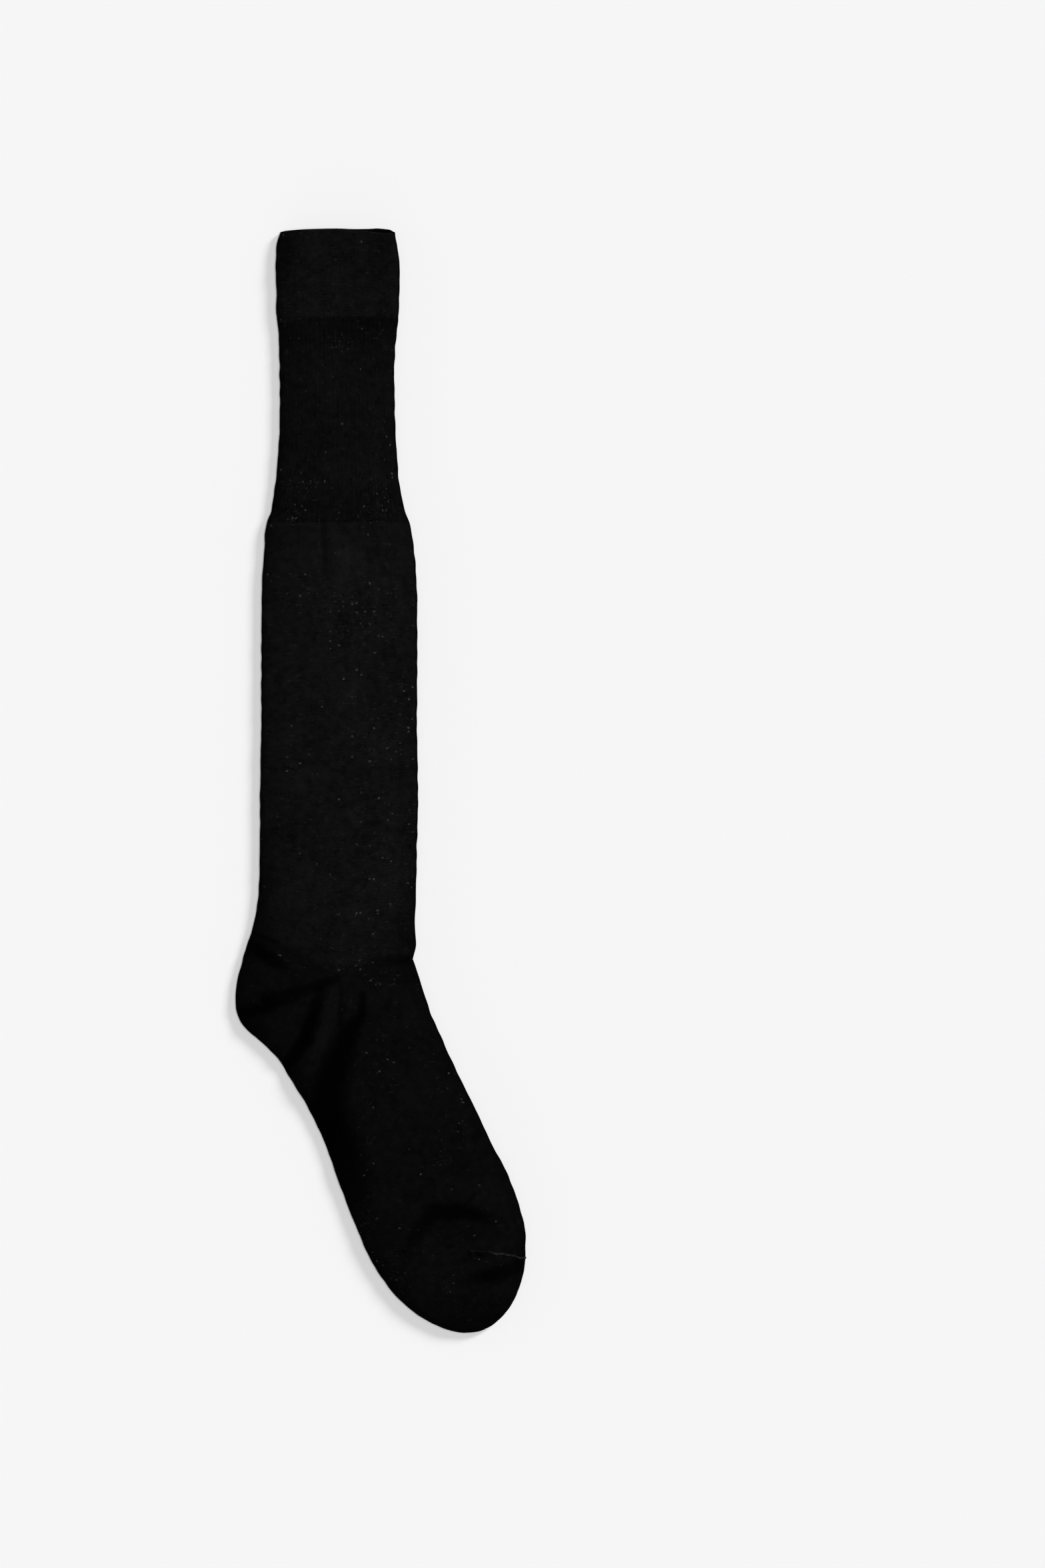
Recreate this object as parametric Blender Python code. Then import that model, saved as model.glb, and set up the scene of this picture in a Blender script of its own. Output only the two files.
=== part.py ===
"""A knee-length cotton sock, empty and lying on its side.

The sock is built as it is knitted: round courses from the cuff's rim down the leg, short courses on
the back half alone for the heel, round courses again along the foot, and a toe whose edge is closed
by a seam over the instep. Every course is one closed ring, flat against the floor below and arched
above, and each piece is the skin between two of them, given its thickness inwards.

+Z is up from the floor, +Y runs up the leg and +X points to the instep. All lengths are in metres.
"""

import math
from collections import namedtuple

import bmesh
import bpy
import numpy as np

# Lengths along the sock, from the rim to the ankle and from the ankle to the toe's tip
CUFF_LENGTH = 0.0509
GARTER_LENGTH = 0.1189
BAND_LENGTH = 0.0282
CALF_LENGTH = 0.2335
FOOT_LENGTH = 0.2208
TOE_LENGTH = 0.0458

# Widths of the flattened tube
CUFF_WIDTH = 0.0715
GARTER_WIDTH = 0.0665
CALF_WIDTH = 0.0905
FOOT_WIDTH = 0.092

# The ankle: the heel's seam rises at the back, the fold at the front, and the foot turns away
FOOT_TURN = math.radians(24.5)
FOOT_SHIFT = 0.0052
HEEL_RISE = 0.025
INSTEP_RISE = 0.0096
HEEL_BULGE = 0.0195
SOLE_START = 0.0394

# The toe: its seam slants towards the instep and bows towards the ankle, and its end is a slightly
# pointed half ellipse that leans to the sole's side
TOE_SLANT = 0.0182
TOE_BOW = 0.0059
TOE_ROUND = 0.0665
TOE_ROUND_POWER = 1.88
TOE_LEAN = 0.0022
TOE_ARC_START = 0.80

# Heights of the upper layer over the floor, and the fold at each side of the tube
CUFF_LOFT = 0.0098
GARTER_LOFT = 0.0088
CALF_LOFT = 0.0100
FOOT_LOFT = 0.0104
TOE_LOFT = 0.0098
ARCH_POWER = 2.5
FOLD_HEIGHT = 0.0022
FOLD_RADIUS = 0.0026

# Cloth: the cuff is a turned, doubled knit and the rest is single
WALL = 0.0011
CUFF_WALL = 0.0019
GAP = 0.0003

# Greatest drop of the mouth's rim, at its corners
RIM_DROP = 0.0034

# The toe's seam stands out from the cloth, and narrows to a share of its width at its ends, which
# lie a few points of the course past the side points
SEAM_WIDTH = 0.0018
SEAM_RISE = 0.0005
SEAM_END = 0.15
SEAM_SET_BACK = 1

# How finely the pieces are divided: steps of a course from a fold to the tube's side, and courses
STEPS_TO_SIDE = 9
COURSES_PER_ROW = 2
HEEL_COURSES = 12
TOE_COURSES = 8

LegRow = namedtuple("LegRow", "piece share back front")
# share is of the piece's length from its lower end, back and front are of its width, from the axis
LEG_ROWS = (
    LegRow("cuff", 1.00, 0.469, 0.452),
    LegRow("cuff", 0.88, 0.490, 0.463),
    LegRow("cuff", 0.59, 0.506, 0.488),
    LegRow("cuff", 0.28, 0.502, 0.488),
    LegRow("garter", 1.00, 0.538, 0.516),
    LegRow("garter", 0.90, 0.521, 0.498),
    LegRow("garter", 0.77, 0.516, 0.482),
    LegRow("garter", 0.57, 0.510, 0.486),
    LegRow("garter", 0.28, 0.532, 0.510),
    LegRow("garter", 0.13, 0.564, 0.542),
    LegRow("garter", 0.05, 0.587, 0.577),
    LegRow("band", 1.00, 0.456, 0.451),
    LegRow("band", 0.82, 0.468, 0.464),
    LegRow("band", 0.37, 0.475, 0.482),
    LegRow("calf", 1.00, 0.485, 0.493),
    LegRow("calf", 0.83, 0.494, 0.502),
    LegRow("calf", 0.60, 0.494, 0.499),
    LegRow("calf", 0.44, 0.502, 0.506),
    LegRow("calf", 0.27, 0.505, 0.497),
    LegRow("calf", 0.16, 0.509, 0.491),
    LegRow("calf", 0.08, 0.523, 0.485),
    LegRow("calf", 0.03, 0.544, 0.490),
    LegRow("calf", 0.00, 0.557, 0.474),
)

RimRow = namedtuple("RimRow", "share lower upper")
# share is of the way from the back to the front, lower and upper are of the rim's greatest drop: the
# corners hang, and the upper layer also dips at the front, where the mouth gapes
RIM_ROWS = (
    RimRow(0.00, 0.94, 0.94),
    RimRow(0.03, 0.52, 0.52),
    RimRow(0.09, 0.32, 0.32),
    RimRow(0.18, 0.20, 0.20),
    RimRow(0.30, 0.12, 0.12),
    RimRow(0.60, 0.10, 0.14),
    RimRow(0.70, 0.10, 0.32),
    RimRow(0.78, 0.07, 0.56),
    RimRow(0.85, 0.00, 0.72),
    RimRow(0.91, 0.10, 0.84),
    RimRow(0.96, 0.30, 0.82),
    RimRow(1.00, 1.00, 1.00),
)

HeelRow = namedtuple("HeelRow", "share bulge")
# share is of the straight line from the heel's top to the sole, bulge is of the heel's own
HEEL_ROWS = (
    HeelRow(0.163, 0.442),
    HeelRow(0.287, 0.742),
    HeelRow(0.417, 0.942),
    HeelRow(0.508, 1.000),
    HeelRow(0.607, 0.910),
    HeelRow(0.720, 0.595),
    HeelRow(0.833, 0.263),
    HeelRow(0.940, 0.055),
)

FootRow = namedtuple("FootRow", "share back front")
# share is of the way from the ankle to the toe's seam, back and front are of the foot's width
FOOT_ROWS = (
    FootRow(0.00, 0.492, 0.522),
    FootRow(0.08, 0.480, 0.505),
    FootRow(0.18, 0.462, 0.486),
    FootRow(0.30, 0.457, 0.480),
    FootRow(0.45, 0.463, 0.487),
    FootRow(0.60, 0.481, 0.492),
    FootRow(0.80, 0.497, 0.499),
    FootRow(0.92, 0.500, 0.500),
    FootRow(1.00, 0.500, 0.500),
)

Crease = namedtuple("Crease", "along across to_along to_across reach height")
# Valleys and ridges of the upper layer round the ankle and toe, from one point to another: along is
# of the foot's length from the ankle, across is of its width, reach of its width, height of its loft
CREASES = (
    Crease(-0.160, -0.42, -0.085, -0.28, 0.060, -0.14),
    Crease(-0.050, -0.52, -0.020, -0.33, 0.070, -0.20),
    Crease(-0.010, -0.25, 0.010, 0.30, 0.050, -0.13),
    Crease(0.045, -0.16, 0.170, -0.42, 0.060, -0.20),
    Crease(0.045, -0.04, 0.220, -0.38, 0.060, 0.10),
    Crease(0.110, -0.02, 0.300, -0.27, 0.080, -0.16),
    Crease(0.300, -0.27, 0.580, -0.33, 0.100, -0.12),
    Crease(0.700, -0.26, 0.672, -0.04, 0.060, -0.13),
    Crease(0.672, -0.04, 0.745, 0.24, 0.060, -0.13),
    Crease(0.865, -0.05, 0.885, 0.16, 0.070, -0.14),
)

Piece = namedtuple("Piece", "name wall shade roughness round")
# shade is the grey of the knit, and round says that the piece goes all the way round the tube
PIECES = (
    Piece("cuff", CUFF_WALL, 0.0050, 0.90, True),
    Piece("garter", WALL, 0.0036, 0.92, True),
    Piece("band", WALL, 0.0050, 0.90, True),
    Piece("calf", WALL, 0.0044, 0.90, True),
    Piece("heel", WALL, 0.0032, 0.94, False),
    Piece("foot", WALL, 0.0036, 0.92, True),
    Piece("toe_seam", WALL + SEAM_RISE, 0.0200, 0.80, False),
    Piece("toe", WALL, 0.0034, 0.92, True),
)

LENGTHS = {"cuff": CUFF_LENGTH, "garter": GARTER_LENGTH, "band": BAND_LENGTH, "calf": CALF_LENGTH}
WIDTHS = {"cuff": CUFF_WIDTH, "garter": GARTER_WIDTH, "band": CALF_WIDTH, "calf": CALF_WIDTH}
LOFTS = {"cuff": CUFF_LOFT, "garter": GARTER_LOFT, "band": CALF_LOFT, "calf": CALF_LOFT}

# A course in plan runs from its back point to its middle and on to its front point: straight where
# its curve is 0, and in one parabola where it is 1
Course = namedtuple("Course", "back middle front loft curve to_end")

FAR_FROM_END = 1.0
TINY = 1e-9
LEAST_SINE = 0.2
BACK, UPPER_SIDE, FRONT, LOWER_SIDE = (n * STEPS_TO_SIDE for n in range(4))
RING_POINTS = 4 * STEPS_TO_SIDE
SEAM_FIRST, SEAM_LAST = UPPER_SIDE + SEAM_SET_BACK, LOWER_SIDE - SEAM_SET_BACK


def from_foot(along, across):
    """Plan point of a place in the foot's frame: along it from the ankle, and across to the instep."""
    turn = np.array((math.sin(FOOT_TURN), -math.cos(FOOT_TURN)))
    side = np.array((math.cos(FOOT_TURN), math.sin(FOOT_TURN)))
    return np.multiply.outer(along, turn) + np.multiply.outer(across, side)


def in_foot(plan):
    """The reverse of from_foot, for an array of plan points: (along, across)."""
    x, y = plan[..., 0], plan[..., 1]
    sine, cosine = math.sin(FOOT_TURN), math.cos(FOOT_TURN)
    return x * sine - y * cosine, x * cosine + y * sine


def through(knots, values, at):
    """Smooth curve through a table: cubic spans, each row's slope taken from its neighbours."""
    slopes = np.gradient(values, knots, axis=0)
    first = np.clip(np.searchsorted(knots, at, side="right") - 1, 0, len(knots) - 2)
    span = (knots[first + 1] - knots[first])[:, None]
    t = (at - knots[first])[:, None] / span
    return (
        (1 + 2 * t) * (1 - t) ** 2 * values[first]
        + t * (1 - t) ** 2 * span * slopes[first]
        + t**2 * (3 - 2 * t) * values[first + 1]
        + t**2 * (t - 1) * span * slopes[first + 1]
    )


def finer(knots, steps):
    """The knots with each interval between two of them divided into equal steps."""
    places = np.arange((len(knots) - 1) * steps + 1) / steps
    return np.interp(places, np.arange(len(knots)), knots)


def courses_from(table):
    """Courses from an array with a row for each: back, middle and front in plan, loft and curve."""
    return [Course(row[0:2], row[2:4], row[4:6], row[6], row[7], FAR_FROM_END) for row in table]


def leg_courses():
    """Courses of the leg for each of its pieces, from the rim down, each list ending where the
    next begins. Nearer the ankle they bend, because their ends stop short of the middle."""
    heights = {}
    base = 0.0
    for piece in ("calf", "band", "garter", "cuff"):
        heights[piece] = base
        base += LENGTHS[piece]
    table = []
    for row in LEG_ROWS:
        y = heights[row.piece] + row.share * LENGTHS[row.piece]
        near_ankle = (1 - row.share) ** 3 if row.piece == "calf" else 0.0
        back = (-row.back * WIDTHS[row.piece], y + HEEL_RISE * near_ankle)
        front = (row.front * WIDTHS[row.piece], y + INSTEP_RISE * near_ankle)
        table.append((*back, 0.0, y, *front, LOFTS[row.piece], 0.0))
    table = np.array(table)
    knots = base - table[:, 3]
    fine = finer(knots, COURSES_PER_ROW)
    courses = courses_from(through(knots, table, fine))
    pieces = [row.piece for row in LEG_ROWS]
    ends = [pieces.index(piece) for piece in ("cuff", "garter", "band", "calf")] + [len(pieces) - 1]
    return {
        pieces[start]: courses[start * COURSES_PER_ROW : end * COURSES_PER_ROW + 1]
        for start, end in zip(ends, ends[1:])
    }


def round_end(along):
    """Share of the foot's width that is left at a distance along it, by the toe's half ellipse."""
    past = np.clip((along - (FOOT_LENGTH - TOE_ROUND)) / TOE_ROUND, 0, 1)
    return (1 - past**TOE_ROUND_POWER) ** (1 / TOE_ROUND_POWER)


def foot_edge(along, half_width):
    """Plan point on the foot's outline. A negative half width is on the sole's side."""
    left = round_end(along)
    return from_foot(along, half_width * left - FOOT_SHIFT - TOE_LEAN * (1 - left))


def foot_courses(ankle):
    """Courses from the ankle to the toe's seam. The first shares its front half with the leg's
    last, the next ones straighten as the foot goes on, and the last ones take on the seam's bow."""
    seam_back = FOOT_LENGTH - TOE_LENGTH - TOE_SLANT
    seam_front = FOOT_LENGTH - TOE_LENGTH + TOE_SLANT
    fold_along = in_foot(ankle.front)[0]
    side_along = in_foot(ankle.middle)[0]
    bend = (SOLE_START + fold_along) / 2 - side_along
    table = []
    for row in FOOT_ROWS:
        back = foot_edge(SOLE_START + row.share * (seam_back - SOLE_START), -row.back * FOOT_WIDTH)
        front = foot_edge(fold_along + row.share * (seam_front - fold_along), row.front * FOOT_WIDTH)
        near_toe = row.share**3
        ahead = bend * (1 - row.share) ** 2 + TOE_BOW * near_toe
        middle = (back + front) / 2 - from_foot(ahead, 0.0)
        loft = CALF_LOFT + (FOOT_LOFT - CALF_LOFT) * math.sin(math.pi / 2 * row.share)
        table.append((*back, *middle, *front, loft, near_toe))
    table = np.array(table)
    table[0, 2:6] = (*ankle.middle, *ankle.front)
    table[-1, 6] = TOE_LOFT
    knots = np.array([row.share for row in FOOT_ROWS])
    return courses_from(through(knots, table, finer(knots, COURSES_PER_ROW)))


def toe_courses(seam):
    """Courses from the toe's seam to its tip. They bow more and more, and the last is the arc of
    the toe's own outline, where the upper and lower layers meet."""
    arc_along = FOOT_LENGTH - TOE_ROUND * (1 - TOE_ARC_START)
    back_along, front_along = in_foot(seam.back)[0], in_foot(seam.front)[0]
    tip = foot_edge(FOOT_LENGTH, 0.0)
    courses = []
    for step in range(TOE_COURSES + 1):
        share = math.sin(math.pi / 2 * step / TOE_COURSES)
        back = foot_edge(back_along + share * (arc_along - back_along), -FOOT_WIDTH / 2)
        front = foot_edge(front_along + share * (arc_along - front_along), FOOT_WIDTH / 2)
        middle = seam.middle + share * (tip - seam.middle)
        courses.append(Course(back, middle, front, TOE_LOFT, 1.0, (1 - share) * TOE_LENGTH))
    return courses


def heel_courses(ankle, sole):
    """Short courses of the heel, which all end at the ankle's side point like a fan: from the
    leg's last course, round the heel's bulge, to the foot's first."""
    chord = sole.back - ankle.back
    outwards = np.array((chord[1], -chord[0])) / np.linalg.norm(chord)
    shares = np.array([0.0, *(row.share for row in HEEL_ROWS), 1.0])
    bulges = np.array([0.0, *(row.bulge for row in HEEL_ROWS), 0.0])
    outline = ankle.back + np.outer(shares, chord) + np.outer(bulges * HEEL_BULGE, outwards)
    knots = np.concatenate(([0.0], np.cumsum(np.linalg.norm(np.diff(outline, axis=0), axis=1))))
    backs = through(knots, outline, np.linspace(0, knots[-1], HEEL_COURSES + 1))
    return [Course(back, ankle.middle, ankle.front, CALF_LOFT, 0.0, FAR_FROM_END) for back in backs]


def creased(plan):
    """Height that the creases add to the upper layer at plan points, as bumps with round ends."""
    along, across = in_foot(plan)
    place = np.stack((along, across), axis=-1)
    total = np.zeros(along.shape)
    for crease in CREASES:
        start = np.array((crease.along * FOOT_LENGTH, crease.across * FOOT_WIDTH))
        line = np.array((crease.to_along * FOOT_LENGTH, crease.to_across * FOOT_WIDTH)) - start
        nearest = np.clip((place - start) @ line / (line @ line), 0, 1)
        away = np.linalg.norm(place - start - nearest[..., None] * line, axis=-1)
        total += crease.height * FOOT_LOFT * np.exp(-((away / (crease.reach * FOOT_WIDTH)) ** 2))
    return total


def quarter_round(distance):
    """Share of a quarter circle's height at a distance in from a fold."""
    return np.sqrt(1 - (1 - np.clip(distance / FOLD_RADIUS, 0, 1)) ** 2)


def ring(course):
    """Points of one course, all round: from the back fold over the upper layer to the front fold,
    then back under the lower layer. Along each layer they are closest together at the folds."""
    share = (1 - np.cos(np.pi * np.arange(FRONT + 1) / FRONT)) / 2
    s = share[:, None]
    to_middle = course.back + 2 * s * (course.middle - course.back)
    from_middle = course.middle + (2 * s - 1) * (course.front - course.middle)
    straight = np.where(s < 0.5, to_middle, from_middle)
    parabola = (
        (1 - s) * (1 - 2 * s) * course.back
        + 4 * s * (1 - s) * course.middle
        + s * (2 * s - 1) * course.front
    )
    plan = straight + course.curve * (parabola - straight)
    off_centre = abs(2 * share - 1)
    arch = np.clip(1 - off_centre**ARCH_POWER, 0, 1) ** (1 / ARCH_POWER)
    near_end = np.clip(1 - course.to_end / TOE_LENGTH, 0, 1)
    end_arch = (1 - near_end**ARCH_POWER) ** (1 / ARCH_POWER)
    rise = (course.loft - FOLD_HEIGHT + creased(plan)) * arch * end_arch
    from_fold = np.minimum(
        np.linalg.norm(plan - course.back, axis=1), np.linalg.norm(plan - course.front, axis=1)
    )
    lift = FOLD_HEIGHT * (1 - quarter_round(from_fold) * quarter_round(course.to_end))
    upper = np.column_stack((plan, FOLD_HEIGHT + rise))
    lower = np.column_stack((plan, lift))
    return np.concatenate((upper, lower[-2:0:-1]))


def rim(points):
    """The first ring as the mouth's rim, its two layers dropped as the table of its rows says."""
    back, front = points[BACK, 0], points[FRONT, 0]
    share = (points[:, 0] - back) / (front - back)
    rows = np.array(RIM_ROWS)
    lower, upper = through(rows[:, 0], rows[:, 1:], share).T
    points[:, 1] -= RIM_DROP * np.where(np.arange(len(points)) < FRONT, upper, lower)
    return points


def rings(courses):
    return np.array([ring(course) for course in courses])


def unit(vectors):
    return vectors / np.maximum(np.linalg.norm(vectors, axis=-1, keepdims=True), TINY)


def trimmed(grid, end, room):
    """The grid with one end's ring drawn in towards the next, to leave that room beside its edge."""
    edge, inner = (grid[0], grid[1]) if end == 0 else (grid[-1], grid[-2])
    inwards = unit(inner - edge)
    around = unit(np.roll(edge, -1, axis=0) - np.roll(edge, 1, axis=0))
    sine = np.linalg.norm(np.cross(inwards, around), axis=1, keepdims=True)
    edge += inwards * room[:, None] / np.maximum(sine, LEAST_SINE)
    return grid


def seam_room():
    """Room that the toe's seam takes on each side of its line, for each point of a ring: only half
    a gap where there is no seam, and beside the tapered seam a whole one."""
    point = np.arange(RING_POINTS)
    past_end = np.minimum(point - SEAM_FIRST, SEAM_LAST - point)
    half_seam = SEAM_WIDTH / 2 * np.clip(SEAM_END + (1 - SEAM_END) * past_end / 2, 0, 1)
    return np.where(past_end < 0, GAP / 2, GAP + half_seam)


def seam_strip(seam, before, after):
    """The toe's seam: a strip along the line between foot and toe over the instep, as wide as the
    room there less a gap, and raised along its middle."""
    line, back, ahead = ring(seam), ring(before), ring(after)
    points = slice(SEAM_FIRST, SEAM_LAST + 1)
    half_width = (seam_room() - GAP)[points, None]
    towards_foot = unit(back - line)[points]
    towards_toe = unit(ahead - line)[points]
    ridge = line[points].copy()
    upper = np.arange(len(ridge)) < FRONT - SEAM_FIRST
    ridge[:, 2] += np.where(upper, SEAM_RISE, 0.0)
    return np.array(
        (line[points] + half_width * towards_foot, ridge, line[points] + half_width * towards_toe)
    )


def heel_pocket(courses, half_gap):
    """The heel's skin: only the half of each course over the back, from one side point to the
    other. All its courses meet there, so the skin stops a gap short of both."""
    over_the_back = np.r_[LOWER_SIDE:RING_POINTS, BACK : UPPER_SIDE + 1]
    skin = trimmed(trimmed(rings(courses), 0, half_gap), -1, half_gap)[:, over_the_back]
    middle = len(skin) // 2
    for side, beside in ((0, 1), (-1, -2)):
        skin[:, side] += GAP * unit(skin[middle, beside] - skin[middle, side])
    return skin


def tube_faces(courses, points, closed):
    """Four-cornered faces between neighbouring rings, facing out of the sock."""
    course, point = np.meshgrid(np.arange(courses - 1), np.arange(points - (not closed)), indexing="ij")
    following = (point + 1) % points
    corners = (
        course * points + point,
        (course + 1) * points + point,
        (course + 1) * points + following,
        course * points + following,
    )
    return np.stack(corners, axis=-1).reshape(-1, 4)


def knit_material(piece):
    material = bpy.data.materials.new(piece.name + "_knit")
    material.use_nodes = True
    shader = material.node_tree.nodes["Principled BSDF"]
    shader.inputs["Base Color"].default_value = (piece.shade, piece.shade, piece.shade, 1.0)
    shader.inputs["Roughness"].default_value = piece.roughness
    shader.inputs["Metallic"].default_value = 0.0
    return material


def add_piece(piece, grid):
    """One piece of the sock: its outer skin from a grid of points, thickened inwards."""
    faces = tube_faces(len(grid), len(grid[0]), piece.round)
    mesh = bpy.data.meshes.new(piece.name)
    mesh.from_pydata(grid.reshape(-1, 3).tolist(), [], faces.tolist())
    body = bmesh.new()
    body.from_mesh(mesh)
    bmesh.ops.remove_doubles(body, verts=body.verts, dist=1e-6)
    bmesh.ops.dissolve_degenerate(body, edges=body.edges, dist=1e-6)
    body.to_mesh(mesh)
    body.free()
    mesh.shade_smooth()
    mesh.materials.append(knit_material(piece))
    solid = bpy.data.objects.new(piece.name, mesh)
    bpy.context.scene.collection.objects.link(solid)
    cloth = solid.modifiers.new("Cloth", "SOLIDIFY")
    cloth.thickness = piece.wall
    cloth.offset = -1.0
    cloth.use_even_offset = True
    cloth.use_quality_normals = True


def main():
    for old in list(bpy.data.objects):
        bpy.data.objects.remove(old, do_unlink=True)

    leg = leg_courses()
    ankle = leg["calf"][-1]
    foot = foot_courses(ankle)
    heel = heel_courses(ankle, foot[0])
    toe = toe_courses(foot[-1])

    half_gap = np.full(RING_POINTS, GAP / 2)
    grids = {}
    for piece, courses in leg.items():
        grid = rings(courses)
        if piece == "cuff":
            grid[0] = rim(grid[0])
        else:
            trimmed(grid, 0, half_gap)
        grids[piece] = trimmed(grid, -1, half_gap)
    grids["foot"] = trimmed(trimmed(rings(foot), 0, half_gap), -1, seam_room())
    grids["toe"] = trimmed(rings(toe), 0, seam_room())
    grids["toe_seam"] = seam_strip(foot[-1], foot[-2], toe[1])
    grids["heel"] = heel_pocket(heel, half_gap)

    everything = np.concatenate([grid.reshape(-1, 3) for grid in grids.values()])
    centre = (everything.min(axis=0) + everything.max(axis=0)) / 2
    centre[2] = 0.0
    for piece in PIECES:
        add_piece(piece, grids[piece.name] - centre)


main()
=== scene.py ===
# %% [markdown]
# # A knee-length cotton sock
#
# A sock is one knitted tube. It starts at the cuff, narrows in a ribbed garter section, widens again
# for the calf, turns at the heel and closes in the toe. Here it lies empty on its side, so the tube
# is two layers of cloth that touch the floor below and stand a finger's thickness above it.
#
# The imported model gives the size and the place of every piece. This script puts a finely knitted
# surface where each plain solid is.

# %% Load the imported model
import math
from collections import namedtuple

import bmesh
import bpy
import numpy as np
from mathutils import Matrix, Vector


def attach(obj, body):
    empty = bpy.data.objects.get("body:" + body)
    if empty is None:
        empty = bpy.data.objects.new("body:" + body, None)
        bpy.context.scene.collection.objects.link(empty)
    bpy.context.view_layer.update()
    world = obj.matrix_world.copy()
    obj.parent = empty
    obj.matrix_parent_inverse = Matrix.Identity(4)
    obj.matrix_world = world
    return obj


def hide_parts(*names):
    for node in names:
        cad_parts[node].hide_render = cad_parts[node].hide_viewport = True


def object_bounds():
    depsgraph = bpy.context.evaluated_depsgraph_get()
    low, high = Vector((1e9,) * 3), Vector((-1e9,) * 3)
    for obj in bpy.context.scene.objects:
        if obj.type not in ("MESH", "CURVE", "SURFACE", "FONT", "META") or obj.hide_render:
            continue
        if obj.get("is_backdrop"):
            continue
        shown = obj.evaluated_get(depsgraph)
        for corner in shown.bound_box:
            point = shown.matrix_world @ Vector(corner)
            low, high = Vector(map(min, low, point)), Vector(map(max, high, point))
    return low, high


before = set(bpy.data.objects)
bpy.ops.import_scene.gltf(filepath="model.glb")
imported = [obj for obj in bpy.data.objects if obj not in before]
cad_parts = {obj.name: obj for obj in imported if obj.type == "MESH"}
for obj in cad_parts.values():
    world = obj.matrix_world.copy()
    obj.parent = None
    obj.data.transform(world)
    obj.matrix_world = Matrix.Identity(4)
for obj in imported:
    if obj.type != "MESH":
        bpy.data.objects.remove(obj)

cad_low, cad_high = (np.array(corner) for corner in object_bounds())
print("solids reach from", cad_low.round(4), "to", cad_high.round(4))

# %% [markdown]
# ## The sizes
#
# All lengths are in metres. The leg is measured up from the ankle, and the foot from the ankle to the
# tip of the toe, on an axis that turns away from the leg's. The ankle's side point, where both axes
# meet, is the origin while the surface is worked out.

# %% Lengths and widths
CUFF_LENGTH = 0.0509
GARTER_LENGTH = 0.1189
BAND_LENGTH = 0.0282
CALF_LENGTH = 0.2335
LEG_LENGTH = CUFF_LENGTH + GARTER_LENGTH + BAND_LENGTH + CALF_LENGTH
FOOT_LENGTH = 0.2208
TOE_LENGTH = 0.0458

CUFF_WIDTH = 0.0715
GARTER_WIDTH = 0.0665
CALF_WIDTH = 0.0905
FOOT_WIDTH = 0.092

print("leg", round(LEG_LENGTH, 4), "m and foot", FOOT_LENGTH, "m")

# %% The ankle, the toe and the loft
FOOT_TURN = math.radians(24.5)
FOOT_SHIFT = 0.0052
HEEL_RISE = 0.025
INSTEP_RISE = 0.0096
HEEL_BULGE = 0.0195
SOLE_START = 0.0394

TOE_SLANT = 0.0182
TOE_BOW = 0.0059
TOE_ROUND = 0.0665
TOE_ROUND_POWER = 1.88
TOE_LEAN = 0.0022
TOE_ARC_START = 0.80

CUFF_LOFT = 0.0098
GARTER_LOFT = 0.0088
CALF_LOFT = 0.0100
FOOT_LOFT = 0.0104
TOE_LOFT = 0.0098
ARCH_POWER = 2.5
FOLD_HEIGHT = 0.0022
FOLD_RADIUS = 0.0026
WALL = 0.0011
CUFF_WALL = 0.0019
RIM_BULGE = 0.0005

# %% [markdown]
# ## The outline
#
# The outline could be one long list of points. It is easier to understand, and to change, as a short
# table for each stretch: how far along, and how far the back and the front edge are from the axis, as
# shares of that stretch's own length and width. A smooth curve then runs through the rows.

# %% Rows of the leg, the heel and the foot
# Each row of the leg is a share of its piece's length, from the lower end up, and how far the back
# and the front edge are from the axis, as shares of the piece's width.
LEG_ROWS = {
    "cuff": (
        (1, 0.469, 0.452), (0.88, 0.49, 0.463), (0.59, 0.506, 0.488), (0.28, 0.502, 0.488),
    ),
    "garter": (
        (1, 0.538, 0.516), (0.9, 0.521, 0.498), (0.77, 0.516, 0.482), (0.57, 0.51, 0.486),
        (0.28, 0.532, 0.51), (0.13, 0.564, 0.542), (0.05, 0.587, 0.577),
    ),
    "band": (
        (1, 0.456, 0.451), (0.82, 0.468, 0.464), (0.37, 0.475, 0.482),
    ),
    "calf": (
        (1, 0.485, 0.493), (0.83, 0.494, 0.502), (0.6, 0.494, 0.499), (0.44, 0.502, 0.506),
        (0.27, 0.505, 0.497), (0.16, 0.509, 0.491), (0.08, 0.523, 0.485), (0.03, 0.544, 0.49),
        (0, 0.557, 0.474),
    ),
}

# Each row of the heel is a share of the way from the ankle's back point to the sole's, and its bulge
# as a share of HEEL_BULGE.
HEEL_ROWS = (
    (0.163, 0.442), (0.287, 0.742), (0.417, 0.942), (0.508, 1), (0.607, 0.91), (0.72, 0.595),
    (0.833, 0.263), (0.94, 0.055),
)

# Each row of the foot is a share of the way from the ankle to the toe's seam, and how far the back
# and the front edge are from the axis, as shares of the foot's width.
FOOT_ROWS = (
    (0, 0.492, 0.522), (0.08, 0.48, 0.505), (0.18, 0.462, 0.486), (0.3, 0.457, 0.48),
    (0.45, 0.463, 0.487), (0.6, 0.481, 0.492), (0.8, 0.497, 0.499), (0.92, 0.5, 0.5),
    (1, 0.5, 0.5),
)
leg_row_count = sum(len(rows) for rows in LEG_ROWS.values())
print(leg_row_count + len(HEEL_ROWS) + len(FOOT_ROWS), "rows shape the outline")

# %% Helpers for places and curves
TINY = 1e-9


def from_foot(along, across):
    """Plan point of a place in the foot's frame: along its axis from the ankle, and across it."""
    turn = np.array((math.sin(FOOT_TURN), -math.cos(FOOT_TURN)))
    side = np.array((math.cos(FOOT_TURN), math.sin(FOOT_TURN)))
    return np.multiply.outer(along, turn) + np.multiply.outer(across, side)


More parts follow.
